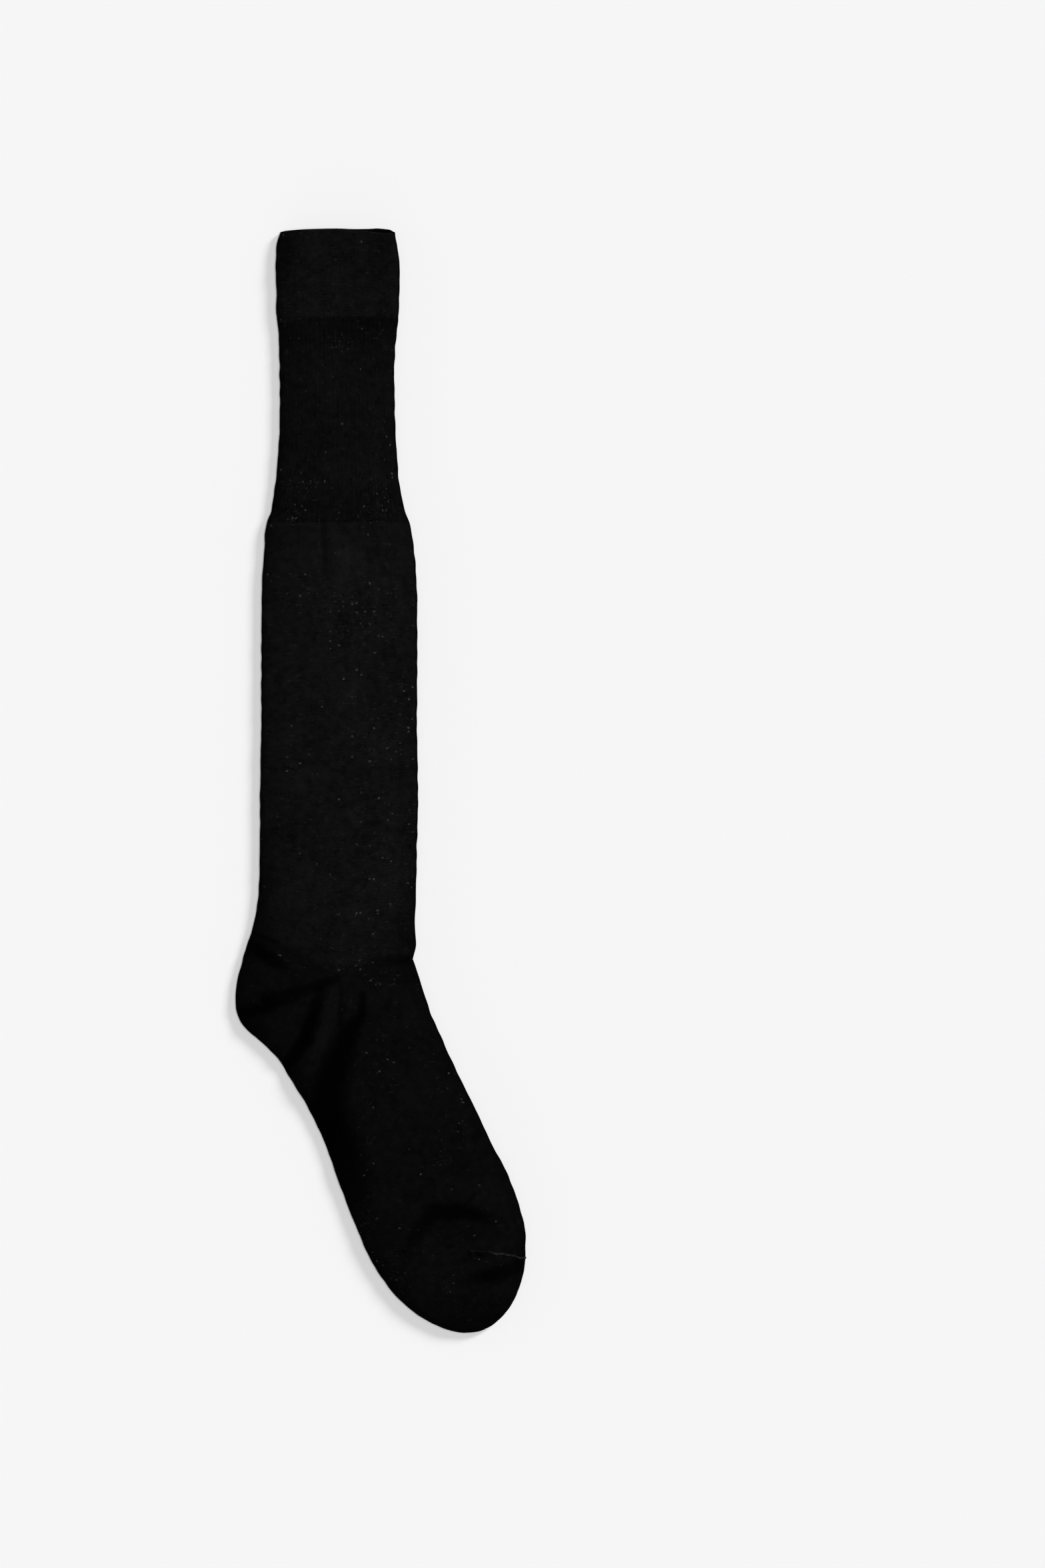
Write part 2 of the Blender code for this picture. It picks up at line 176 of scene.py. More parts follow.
def along_foot(plan):
    """How far along the foot's axis a plan point lies."""
    return plan[..., 0] * math.sin(FOOT_TURN) - plan[..., 1] * math.cos(FOOT_TURN)


def through(knots, values, at):
    """Cubic spans through the rows of a table. Each row's slope is that between its neighbours."""
    slopes = np.gradient(values, knots, axis=0)
    first = np.clip(np.searchsorted(knots, at, side="right") - 1, 0, len(knots) - 2)
    span = (knots[first + 1] - knots[first])[:, None]
    t = (at - knots[first])[:, None] / span
    return (
        (1 + 2 * t) * (1 - t) ** 2 * values[first]
        + t * (1 - t) ** 2 * span * slopes[first]
        + t**2 * (3 - 2 * t) * values[first + 1]
        + t**2 * (t - 1) * span * slopes[first + 1]
    )


def unit(vectors):
    """The vectors at length one. A vector of no length stays as it is."""
    return vectors / np.maximum(np.linalg.norm(vectors, axis=-1, keepdims=True), TINY)


def smooth_step(value):
    """0 below 0, 1 above 1, and 3 v squared minus 2 v cubed between."""
    value = np.clip(value, 0, 1)
    return value**2 * (3 - 2 * value)


# %% [markdown]
# ## Courses
#
# A knitter calls one round of stitches a course and one column of them a wale. So the surface's two
# parameters are the course and the wale. In plan a course runs from its back point, over the middle
# of the layer, to its front point: straight where its curve is 0, in one parabola where it is 1.
# Courses hold these as arrays, one row for each round.

# %% Courses of the leg
Courses = namedtuple("Courses", "back middle front loft curve to_end")
FAR_FROM_END = 1.0
LENGTHS = {"cuff": CUFF_LENGTH, "garter": GARTER_LENGTH, "band": BAND_LENGTH, "calf": CALF_LENGTH}
WIDTHS = {"cuff": CUFF_WIDTH, "garter": GARTER_WIDTH, "band": CALF_WIDTH, "calf": CALF_WIDTH}
LOFTS = {"cuff": CUFF_LOFT, "garter": GARTER_LOFT, "band": CALF_LOFT, "calf": CALF_LOFT}
LOWER_ENDS = {
    "calf": 0.0,
    "band": CALF_LENGTH,
    "garter": CALF_LENGTH + BAND_LENGTH,
    "cuff": CALF_LENGTH + BAND_LENGTH + GARTER_LENGTH,
}


def leg_table():
    """Rows of back, middle and front point, loft and curve, which is 0. Near the ankle the ends of a
    course stop short of its middle by a rise times the cube of how near it is."""
    table = []
    for piece, rows in LEG_ROWS.items():
        for share, back, front in rows:
            y = LOWER_ENDS[piece] + share * LENGTHS[piece]
            near_ankle = (1 - share) ** 3 if piece == "calf" else 0.0
            back_point = (-back * WIDTHS[piece], y + HEEL_RISE * near_ankle)
            front_point = (front * WIDTHS[piece], y + INSTEP_RISE * near_ankle)
            table.append((*back_point, 0.0, y, *front_point, LOFTS[piece], 0.0))
    return np.array(table)


def courses_of(values):
    """Courses from rows of back, middle and front point, loft and curve."""
    far = np.full(len(values), FAR_FROM_END)
    back, middle, front = values[:, 0:2], values[:, 2:4], values[:, 4:6]
    return Courses(back, middle, front, values[:, 6], values[:, 7], far)


def leg_courses(top, bottom, step):
    """Courses of the leg between two heights over the ankle, about one step apart."""
    table = leg_table()
    heights = np.linspace(top, bottom, round((top - bottom) / step) + 1)
    return courses_of(through(LEG_LENGTH - table[:, 3], table, LEG_LENGTH - heights))


# %% Courses of the foot and the toe
SEAM_BACK = FOOT_LENGTH - TOE_LENGTH - TOE_SLANT
SEAM_FRONT = FOOT_LENGTH - TOE_LENGTH + TOE_SLANT


def foot_edge(along, half_width):
    """Plan point on the foot's outline. The half ellipse of the toe narrows the half width."""
    past = np.clip((along - (FOOT_LENGTH - TOE_ROUND)) / TOE_ROUND, 0, 1)
    left = (1 - past**TOE_ROUND_POWER) ** (1 / TOE_ROUND_POWER)
    return from_foot(along, half_width * left - FOOT_SHIFT - TOE_LEAN * (1 - left))


def foot_courses(ankle_middle, ankle_front, count):
    """Courses from the ankle to the toe's seam. The first shares its front half with the leg's last
    course. The bend in the middle fades with the square of what is left of the way, and the bow of
    the toe's seam grows with the cube of what is done."""
    fold_along = along_foot(ankle_front)
    bend = (SOLE_START + fold_along) / 2 - along_foot(ankle_middle)
    table = []
    for share, back_share, front_share in FOOT_ROWS:
        back_along = SOLE_START + share * (SEAM_BACK - SOLE_START)
        front_along = fold_along + share * (SEAM_FRONT - fold_along)
        back = foot_edge(back_along, -back_share * FOOT_WIDTH)
        front = foot_edge(front_along, front_share * FOOT_WIDTH)
        near_toe = share**3
        ahead = bend * (1 - share) ** 2 + TOE_BOW * near_toe
        middle = (back + front) / 2 - from_foot(ahead, 0.0)
        loft = CALF_LOFT + (FOOT_LOFT - CALF_LOFT) * math.sin(math.pi / 2 * share)
        table.append((*back, *middle, *front, loft, near_toe))
    table = np.array(table)
    table[0, 2:6] = (*ankle_middle, *ankle_front)
    table[-1, 6] = TOE_LOFT
    knots = np.array([row[0] for row in FOOT_ROWS])
    return courses_of(through(knots, table, np.linspace(0, 1, count)))


def toe_courses(back, middle, front, count):
    """Courses from the toe's seam to its tip, spaced by a sine so that they crowd at the tip, where
    both layers meet in the arc of the outline."""
    share = np.sin(np.linspace(0, math.pi / 2, count))
    arc_along = FOOT_LENGTH - TOE_ROUND * (1 - TOE_ARC_START)
    back_along, front_along = along_foot(back), along_foot(front)
    tip = foot_edge(FOOT_LENGTH, 0.0)
    return Courses(
        foot_edge(back_along + share * (arc_along - back_along), -FOOT_WIDTH / 2),
        middle + share[:, None] * (tip - middle),
        foot_edge(front_along + share * (arc_along - front_along), FOOT_WIDTH / 2),
        np.full(count, TOE_LOFT),
        np.ones(count),
        (1 - share) * TOE_LENGTH,
    )


# %% Courses of the heel
def heel_courses(ankle_back, sole_back, middle, front, count):
    """Short courses that fan out from the ankle's side point: from the leg's last course, round the
    bulge of the heel, to the foot's first."""
    chord = sole_back - ankle_back
    outwards = np.array((chord[1], -chord[0])) / np.linalg.norm(chord)
    shares = np.array([0.0, *(share for share, _ in HEEL_ROWS), 1.0])
    bulges = np.array([0.0, *(bulge for _, bulge in HEEL_ROWS), 0.0])
    outline = ankle_back + np.outer(shares, chord) + np.outer(bulges * HEEL_BULGE, outwards)
    knots = np.concatenate(([0.0], np.cumsum(np.linalg.norm(np.diff(outline, axis=0), axis=1))))
    backs = through(knots, outline, np.linspace(0, knots[-1], count))
    return Courses(
        backs,
        np.tile(middle, (count, 1)),
        np.tile(front, (count, 1)),
        np.full(count, CALF_LOFT),
        np.zeros(count),
        np.full(count, FAR_FROM_END),
    )


# %% [markdown]
# ## Folds
#
# Cloth that turns a corner while it lies flat has to crumple. The folds round the ankle and over the
# toe could come from a cloth simulation, but then nobody chooses where they fall. Here each fold is a
# chain of points. Across the chain it is a bell curve with a flat top, a valley where its height is
# below zero and a ridge where it is above. Little light gets out of a valley in black cloth, so each
# point also paints the cloth darker there, a painted shade, or lighter on a ridge or pucker, a painted
# highlight.

# %% Chains of points for the folds
# Each point is its x and y from the ankle's side point, its reach across the chain and its height,
# all in millimetres, and its shade: what is added to the cloth's reflectance, as a share of it,
# painted shade where it is below zero and painted highlight where it is above.
FOLDS = {
    "crease over the heel": (
        (-48, 24, 1.1, -0.4, -0.35), (-40, 20.5, 1.2, -0.4, -0.45), (-32, 18, 1.1, -0.2, -0.2),
    ),
    "valley at the heel's top": (
        (-53, 17.5, 3, -1, -0.45), (-47, 14.5, 4, -1.8, -0.75), (-41.5, 10.5, 4.4, -2.2, -0.82),
        (-35, 6, 3.4, -1.2, -0.6), (-29, 1, 2.6, -0.5, -0.25),
    ),
    "dimple in the heel": (
        (-61, -25, 2.4, -0.8, -0.45), (-52, -21, 4.6, -2, -0.72), (-41.5, -16.5, 6.6, -2.8, -0.93),
        (-30.5, -12.5, 3.8, -2.2, -0.6), (-20.5, -9, 3.2, -1.6, -0.5),
        (-10, -5.5, 3.2, -1.2, -0.66), (-1.5, -2, 2.4, -0.6, -0.35),
    ),
    "pucker in the dimple": (
        (-49, -15, 1.2, 0.5, 0.6), (-46, -16, 1.6, 0.8, 2.2), (-43, -18.5, 1, 0.4, 0.8),
    ),
    "valley under the arch": (
        (-11.5, -9, 3, -1, -0.5), (-15.5, -24, 3.6, -2.4, -0.84), (-20.5, -37.5, 4, -2.8, -0.94),
        (-26, -46, 4.2, -2.4, -0.9), (-30.5, -54, 4.2, -1.8, -0.8),
    ),
    "ridge under the arch": (
        (-3, -6, 3, 0.5, 0.05), (-5.5, -22, 3.6, 1.3, 0.28), (-11, -37, 4, 1.5, 0.4),
        (-16.5, -52, 4, 1.3, 0.36), (-20, -67, 3, 0.8, 0),
    ),
    "slot beside the ridge": (
        (1, -10.5, 1, -0.4, -0.2), (0.5, -20, 1.3, -0.7, -0.35), (0, -28, 1.6, -0.8, -0.3),
    ),
    "small ridge": (
        (8.5, -5, 2.4, 0.4, 0.05), (6.5, -17, 2.6, 0.8, 0.15), (5, -26, 2, 0.4, 0),
    ),
    "valley along the sole": (
        (13.5, -11, 1.8, -0.8, -0.62), (13, -22, 2.8, -1.4, -0.76), (5, -34, 6, -2.2, -0.84),
        (1, -45, 8.2, -2.6, -0.86), (-2.5, -54, 9.4, -2.6, -0.88), (-6, -66, 10.6, -2.4, -0.9),
        (-6.5, -76, 11.8, -2.2, -0.96), (-5, -86, 12.2, -2, -0.98), (-1, -97, 11.6, -1.8, -0.94),
        (4.5, -107, 10.4, -1.4, -0.74), (8, -116, 9, -1, -0.55), (9.5, -124, 8.2, -0.8, -0.6),
        (12, -133, 7.6, -0.6, -0.36), (16, -143, 6, -0.2, -0.05),
    ),
    "crease over the instep": (
        (16, 8.5, 2, -0.3, -0.05), (26, 8.5, 2.6, -0.8, -0.3), (36, 8, 3, -1.2, -0.4),
        (44, 9, 2.8, -1.4, -0.35),
    ),
    "valley over the toes": (
        (36, -163, 3.2, -0.3, -0.25), (41.5, -153.5, 4, -0.8, -0.48),
        (47.5, -144.5, 4.6, -1.2, -0.62), (54, -137, 5, -1.6, -0.76), (63, -137.5, 5, -1.8, -0.84),
        (72, -136.5, 4.8, -1.6, -0.8), (80.5, -139, 4, -1.2, -0.76), (89, -142.5, 3, -0.5, -0.4),
    ),
    "valley under the toe's seam": (
        (75, -176.5, 2.8, -0.5, -0.3), (83.5, -174, 4.2, -1.4, -0.74), (92, -172, 4.8, -1.5, -0.7),
        (99.5, -169.5, 4.2, -0.8, -0.45), (105, -166.5, 3.4, -0.6, -0.6),
    ),
    "first gather": (
        (75.5, -160.5, 1.3, -0.3, -0.75), (78, -164, 0.7, -0.15, -0.3),
    ),
    "second gather": (
        (79.5, -160.5, 1.4, -0.35, -0.85), (84.5, -163, 0.7, -0.15, -0.3),
    ),
    "third gather": (
        (62.5, -156.5, 1.1, -0.25, -0.65), (67, -156, 0.8, -0.15, -0.35),
    ),
    "fourth gather": (
        (37.5, -159.5, 0.9, -0.2, -0.45), (42, -160, 0.8, -0.15, -0.25),
    ),
    "swelling at the toe": (
        (60, -176, 2.2, 0.3, 0.1), (64, -183, 2.8, 0.45, 0.3),
    ),
    "groove in the band": (
        (-9, 261, 1.7, -0.6, -0.32), (-9, 254, 1.7, -0.6, -0.34), (-8.5, 240, 1.7, -0.5, -0.26),
        (-8, 229, 2.2, -0.3, -0.2),
    ),
    "second groove": (
        (-23.5, 258.5, 1.3, -0.3, -0.22), (-23, 250, 1.4, -0.15, -0.12),
    ),
    "third groove": (
        (18, 260, 2.6, -0.2, -0.12), (17.5, 238, 2.8, -0.15, -0.1),
    ),
    "swelling of the calf": (
        (-5, 120, 14, 0.2, 0), (-6, 50, 14, 0.5, 0),
    ),
}


# %% Height and shade of the folds at a place
MM = 0.001
FOLD_POWER = 3.4


def chain_effect(plan, chain):
    """Height and shade that one chain adds at each plan point: its own, which run evenly from point
    to point of the nearest stretch, times e to minus a power of distance over reach."""
    table = np.array(chain)
    places, reaches = table[:, 0:2] * MM, table[:, 2] * MM
    effects = table[:, 3:5] * (MM, 1)
    nearest = np.full(plan.shape[:-1], np.inf)
    effect = np.zeros((*plan.shape[:-1], 2))
    for i in range(len(places) - 1):
        line = places[i + 1] - places[i]
        t = np.clip((plan - places[i]) @ line / (line @ line), 0, 1)
        away = np.linalg.norm(plan - places[i] - t[..., None] * line, axis=-1)
        away /= reaches[i] + t * (reaches[i + 1] - reaches[i])
        closer = away < nearest
        effect[closer] = (effects[i] + t[..., None] * (effects[i + 1] - effects[i]))[closer]
        nearest[closer] = away[closer]
    return effect * np.exp(-(nearest**FOLD_POWER))[..., None]


def fold_effects(plan):
    """Height of all folds together, and the product of 1 plus each one's painted shade or highlight.
    """
    height = np.zeros(plan.shape[:-1])
    shade = np.ones(plan.shape[:-1])
    for chain in FOLDS.values():
        effect = chain_effect(plan, chain)
        height += effect[..., 0]
        shade *= 1 + effect[..., 1]
    return height, shade


print(len(FOLDS), "folds")


# %% [markdown]
# ## Tones
#
# The dye is the same everywhere, yet the sock isn't evenly black. Each section is knitted at its own
# tension. The cloth is painted darker at the folded sides, where it turns away from the light, a
# painted shade, and soft patches make it lighter or darker: among them a painted highlight along the
# cuff's lower edge with painted shade under it, and painted shade beside the folds over the toes. A
# picture could hold all that. Here each patch is an oval bell curve.

# %% Soft patches
# Each patch is its x and y, how far it reaches across and along, in millimetres, and what it adds to
# the cloth's reflectance, as a share of it. The light line at y 381.7 along the cuff's hem and the
# dark ones under it are a painted highlight and painted shade, and the dark patches beside the valley
# over the toes are painted shade.
TONE_AND_SHADE_PATCHES = (
    (-31, 421, 7, 8, -0.34), (-31, 409, 5.5, 8, -0.3), (24.5, 424, 7.5, 6, -0.34),
    (24.5, 408, 6.5, 17, -0.36), (-8, 400, 16, 20, 0.08), (0, 386, 60, 7, 0.1),
    (2, 381.7, 44, 1.2, 0.24), (-31, 378.5, 6, 2, 0.5), (7, 378.8, 34, 1.5, -0.34),
    (0, 371, 44, 8, -0.22), (0, 330, 20, 30, 0.08), (6, 287, 24, 9, 0.1),
    (0, 266.5, 42, 4.5, -0.18), (0, 262.6, 60, 0.9, -0.3), (5, 241, 12, 12, 0.26),
    (-36, 250, 8, 14, -0.16), (10, 190, 18, 30, 0.1), (41, 180, 9, 60, -0.16),
    (42, 80, 9, 60, -0.14), (0, 45, 14, 22, 0.06), (0, 12, 60, 14, -0.1), (-43, 30, 9, 14, -0.3),
    (38, 26, 13, 17, -0.26), (-50, -30, 16, 8, -0.26), (-24, -8, 9, 7, -0.14),
    (65, -131, 18, 4, -0.22), (70, -147, 22, 5, -0.24), (55, -170, 16, 14, 0.12),
    (80, -195, 18, 12, -0.24), (28, -165, 10, 16, -0.14),
)
# Painted shade: the cloth darker at and near the folded sides, where it turns away from the light.
EDGE_DARK = 0.92
EDGE_DARK_REACH = 0.0010
SIDE_DARK = 0.14
SIDE_DARK_LOW = 0.36
SIDE_DARK_REACH = 0.0075
SIDE_DARK_TOP = 0.150
SIDE_DARK_WHOLE = 0.040


def tones_and_painted_shade(plan, from_fold):
    """Share of the cloth's reflectance at each point: 1 plus each patch's extra times e to minus the
    square of its distance, and less near the folded sides, a painted shade, most of all in the calf's
    lower part."""
    tone = np.ones(plan.shape[:-1])
    for x, y, wide, high, extra in TONE_AND_SHADE_PATCHES:
        off_x = (plan[..., 0] / MM - x) / wide
        off_y = (plan[..., 1] / MM - y) / high
        tone *= 1 + extra * np.exp(-(off_x**2) - off_y**2)
    low_down = smooth_step((SIDE_DARK_TOP - plan[..., 1]) / (SIDE_DARK_TOP - SIDE_DARK_WHOLE))
    side_dark = SIDE_DARK + (SIDE_DARK_LOW - SIDE_DARK) * low_down
    tone *= 1 - side_dark * np.exp(-((from_fold / SIDE_DARK_REACH) ** 2))
    return tone * (1 - EDGE_DARK * np.exp(-((from_fold / EDGE_DARK_REACH) ** 2)))


# %% [markdown]
# ## The two layers
#
# Across the tube, the upper layer is half a superellipse: nearly level in the middle and steep at the
# folded sides. The lower layer lies flat on the floor and turns up in a quarter circle at each side.
# Points are spaced evenly along the arch, so that every wale is as wide as its neighbour.

# %% Profile of a course
PROFILE_STEPS = 2001


def arch(share):
    """Height share of the upper layer: the ARCH_POWER root of 1 minus the power of the distance from
    the middle."""
    return np.clip(1 - abs(2 * share - 1) ** ARCH_POWER, 0, 1) ** (1 / ARCH_POWER)


def quarter_round(distance):
    """Height share of a quarter circle at a distance in from the fold."""
    return np.sqrt(1 - (1 - np.clip(distance / FOLD_RADIUS, 0, 1)) ** 2)


def wale_shares(quarter):
    """Shares across a layer in equal steps along the calf's arch. The side is exactly halfway."""
    share = (1 - np.cos(np.linspace(0, math.pi, PROFILE_STEPS))) / 2
    height = arch(share) * (CALF_LOFT - FOLD_HEIGHT)
    steps = np.hypot(np.diff(share) * CALF_WIDTH, np.diff(height))
    length = np.concatenate(([0.0], np.cumsum(steps)))
    return np.interp(np.linspace(0, length[-1], 2 * quarter + 1), length, share)


def rounds(courses, quarter):
    """Points of every course all round, as an array of courses by wales by three, over the upper
    layer from back to front and back under the lower one, and the shade at each point."""
    share = wale_shares(quarter)
    s = share[None, :, None]
    back, middle, front = (place[:, None, :] for place in courses[:3])
    to_middle = back + 2 * s * (middle - back)
    from_middle = middle + (2 * s - 1) * (front - middle)
    straight = np.where(s < 0.5, to_middle, from_middle)
    parabola = (1 - s) * (1 - 2 * s) * back + 4 * s * (1 - s) * middle + s * (2 * s - 1) * front
    plan = straight + courses.curve[:, None, None] * (parabola - straight)
    near_end = np.clip(1 - courses.to_end / TOE_LENGTH, 0, 1)
    end_arch = (1 - near_end**ARCH_POWER) ** (1 / ARCH_POWER)
    # shade is painted light: darker in the folds' valleys, a painted shade, and lighter on their
    # ridges, a painted highlight.
    fold, shade = fold_effects(plan)
    loft = courses.loft[:, None] - FOLD_HEIGHT + fold
    from_back, from_front = (np.linalg.norm(plan - place, axis=-1) for place in (back, front))
    from_fold = np.minimum(from_back, from_front)
    lift = 1 - quarter_round(from_fold) * quarter_round(courses.to_end)[:, None]
    upper = np.dstack((plan, FOLD_HEIGHT + loft * arch(share) * end_arch[:, None]))
    lower = np.dstack((plan, FOLD_HEIGHT * lift))
    tone = tones_and_painted_shade(plan, np.minimum(from_fold, courses.to_end[:, None]))
    shades = np.concatenate((shade * tone, tone[:, -2:0:-1]), axis=1)
    return np.concatenate((upper, lower[:, -2:0:-1]), axis=1), shades


def facing(grid):
    """Outward direction at every point: the way along the sock crossed with the way round it."""
    along = np.gradient(grid, axis=0)
    around = np.roll(grid, -1, axis=1) - np.roll(grid, 1, axis=1)
    return unit(np.cross(along, around))


# %% [markdown]
# ## Relief
#
# No knitted surface is even. A sum of long sine waves, with directions and phases drawn from a seeded
# generator, gives soft lumps and a slightly wavy outline. Because it depends on the place alone, two
# pieces that meet get the same relief at their border.

# %% Soft lumps
LUMP_HEIGHT = 0.00016
LUMP_WAVES = 14
LUMP_SHORTEST = 0.007
LUMP_LONGEST = 0.040
lump_draws = np.random.default_rng(7)
lump_lengths = np.geomspace(LUMP_SHORTEST, LUMP_LONGEST, LUMP_WAVES)
lump_turns = lump_draws.uniform(0, 2 * math.pi, LUMP_WAVES)
lump_phases = lump_draws.uniform(0, 2 * math.pi, LUMP_WAVES)


def lumps(grid):
    """Mean of sine waves over the plan, shifted in phase with height so that the layers differ."""
    total = np.zeros(grid.shape[:-1])
    for length, turn, phase in zip(lump_lengths, lump_turns, lump_phases):
        way = grid[..., 0] * math.cos(turn) + grid[..., 1] * math.sin(turn) + grid[..., 2]
        total += np.sin(2 * math.pi * way / length + phase)
    return total / math.sqrt(LUMP_WAVES)


# %% [markdown]
# ## From points to a piece
#
# Each piece is a closed shell: its outer skin, then an inner skin a wall's thickness further in, with
# fewer courses because it hardly shows. The rows of both follow each other in one grid that closes
# on itself. A UV map counts wales and courses, so that the stitches follow the cloth round the heel.
# Two more numbers go with every point: its share of the cloth's reflectance, and how much lint lies
# there.

# %% Lint, where it clings
WALES = 168
COURSE_PITCH = 0.00075
INNER_SKIP = 4

LINT_EVERYWHERE = 0.20
# Each patch is its x and y from the ankle's side point, its radius, in millimetres, and its amount.
LINT_PATCHES = (
    (-30.2, 360.2, 1, 18), (1, 366.3, 5, 2.6), (-24, 398, 9, 0.8), (-20, 283, 6, 1.8),
    (-8, 285, 5, 1.5), (-23, 265, 7, 1.3), (21.5, 279, 6, 1.6), (25.5, 271, 5, 2),
    (15, 265.5, 5, 1.8), (22, 264.5, 5, 2.2), (0, 264, 5, 0.8), (-18, 221, 7, 1.8),
    (3, 216, 7, 1.2), (15, 211, 8, 1.2), (32, 213, 8, 0.8), (2, 197, 7, 1.4), (18, 197, 8, 1.4),
    (33, 195, 8, 1.2), (24, 140, 26, 0.7), (28, 70, 24, 0.6), (43, 150, 10, 0.8),
    (43, 100, 14, 0.8), (43, 50, 12, 0.9), (22, 30, 14, 0.8), (11, 9, 5, 2), (-3, 6, 5, 1.6),
    (21, -1, 6, 1.8), (32, 5, 4, 1.2), (24, -43, 8, 1.4), (29, -62, 9, 1), (70, -84, 11, 1.3),
    (58, -100, 10, 0.8), (14.5, -141, 6, 2), (20, -152, 6, 2.4), (32, -162, 4, 2),
    (22, -164, 5, 1.6), (32, -173, 5, 2.2), (35, -181, 5, 2.6), (64, -181, 4, 1.4),
    (58, -188, 3, 2),
)


def lint(grid):
    """How thickly lint lies: a little everywhere, and a bell curve over each patch."""
    total = np.full(grid.shape[:-1], LINT_EVERYWHERE)
    for x, y, radius, amount in LINT_PATCHES:
        away = np.hypot(grid[..., 0] / MM - x, grid[..., 1] / MM - y)
        total += amount * np.exp(-((away / radius) ** 2))
    return total


# %% Build a mesh from a grid of rows
MERGE_DISTANCE = 1e-6
SHARP_ANGLE = math.radians(55)


def grid_faces(rows, columns, wrap_rows, wrap_columns):
    """Four corners for each face as (row, column) numbers, which may run one past the last."""
    row, column = np.meshgrid(
        np.arange(rows - (not wrap_rows)), np.arange(columns - (not wrap_columns)), indexing="ij"
    )
    corner_rows = np.stack((row, row + 1, row + 1, row), axis=-1).reshape(-1, 4)
    corner_columns = np.stack((column, column, column + 1, column + 1), axis=-1).reshape(-1, 4)
    return corner_rows, corner_columns


def build(name, grid, values, wales, stitch_rows, wrap_rows=True, wrap_columns=True):
    """A mesh object from a grid of points. values are named numbers for each point."""
    rows, columns, _ = grid.shape
    corner_rows, corner_columns = grid_faces(rows, columns, wrap_rows, wrap_columns)
    faces = (corner_rows % rows) * columns + corner_columns % columns
    mesh = bpy.data.meshes.new(name)
    mesh.from_pydata(grid.reshape(-1, 3), [], faces)
    stitches = mesh.uv_layers.new(name="stitches")
    row_places = np.append(stitch_rows, stitch_rows[-1])
    corners = np.stack((corner_columns * (wales / columns), row_places[corner_rows]), axis=-1)
    stitches.data.foreach_set("uv", corners.ravel())
    for label, numbers in values.items():
        layer = mesh.attributes.new(label, "FLOAT", "POINT")
        layer.data.foreach_set("value", numbers.ravel())
    body = bmesh.new()
    body.from_mesh(mesh)
    bmesh.ops.remove_doubles(body, verts=body.verts, dist=MERGE_DISTANCE)
    body.to_mesh(mesh)
    body.free()
    mesh.shade_smooth()
    mesh.set_sharp_from_angle(angle=SHARP_ANGLE)
    piece = bpy.data.objects.new(name, mesh)
    bpy.context.scene.collection.objects.link(piece)
    print(name, len(mesh.vertices), "points and", len(mesh.polygons), "faces")
    return piece


# %% Add relief and an inner skin
def finished(grid, outward, relief):
    """The outer skin: lifted by its relief along the outward direction, and never into the floor."""
    skin = grid + outward * (relief + LUMP_HEIGHT * lumps(grid))[..., None]
    skin[..., 2] = np.maximum(skin[..., 2], 0.0)
    return skin


def inner_rows(count):
    """Rows of the outer skin that the inner skin repeats, from the last back to the first."""
    return np.append(np.arange(count - 1, 0, -INNER_SKIP), 0)


def course_numbers(grid):
    """Course count of every row, from the mean distance between rows."""
    steps = np.linalg.norm(np.diff(grid, axis=0), axis=-1).max(axis=1)
    return np.concatenate(([0.0], np.cumsum(steps))) / COURSE_PITCH


# %% [markdown]
# ## Place
#
# The solids are centred on their own box, so the surface gets the same shift: the middle of its box
# goes to the middle of theirs. All rows are worked out first, and moved when a piece is made.

# %% Work out the plain surface of every piece
PLAIN_QUARTER = 56
FINE_QUARTER = 112
COURSE_STEP = 0.0011
FINE_STEP = 0.0008
FOOT_ROUNDS = 170
HEEL_ROUNDS = 76
TOE_ROUNDS = 60

spans = {}
for name, length in LENGTHS.items():
    spans[name] = (LOWER_ENDS[name] + length, LOWER_ENDS[name])
rim_top = spans["cuff"][0] - RIM_BULGE
surfaces = {
    "cuff": rounds(leg_courses(rim_top, spans["cuff"][1], FINE_STEP), FINE_QUARTER),
    "garter": rounds(leg_courses(*spans["garter"], COURSE_STEP), FINE_QUARTER),
    "band": rounds(leg_courses(*spans["band"], COURSE_STEP), PLAIN_QUARTER),
}
calf = leg_courses(*spans["calf"], COURSE_STEP)
surfaces["calf"] = rounds(calf, PLAIN_QUARTER)
foot = foot_courses(calf.middle[-1], calf.front[-1], FOOT_ROUNDS)
surfaces["foot"] = rounds(foot, PLAIN_QUARTER)
heel = heel_courses(calf.back[-1], foot.back[0], calf.middle[-1], calf.front[-1], HEEL_ROUNDS)
surfaces["heel"] = rounds(heel, PLAIN_QUARTER)
toe = toe_courses(foot.back[-1], foot.middle[-1], foot.front[-1], TOE_ROUNDS)
surfaces["toe"] = rounds(toe, PLAIN_QUARTER)

every_point = np.concatenate([grid.reshape(-1, 3) for grid, _ in surfaces.values()])
own_low, own_high = every_point.min(axis=0), every_point.max(axis=0)
own_high[1] = LEG_LENGTH
shift = (cad_low + cad_high - own_low - own_high) / 2
shift[2] = 0.0
print("surface shifted by", shift.round(4))

# %% [markdown]
# ## Cuff
#
# The cuff is knitted twice as long, turned over and linked to the leg, so its upper edge is a round
# fold and its lower edge a step. The corners of the rim hang a little, and the upper layer dips at
# the front, where the mouth gapes, so that the lower layer's rim shows behind it. The two turned
# layers could be separate pieces, but a single surface that rolls over the rim leaves no seam.

# %% Shape the rim and the hem
RIM_DROP = 0.0034
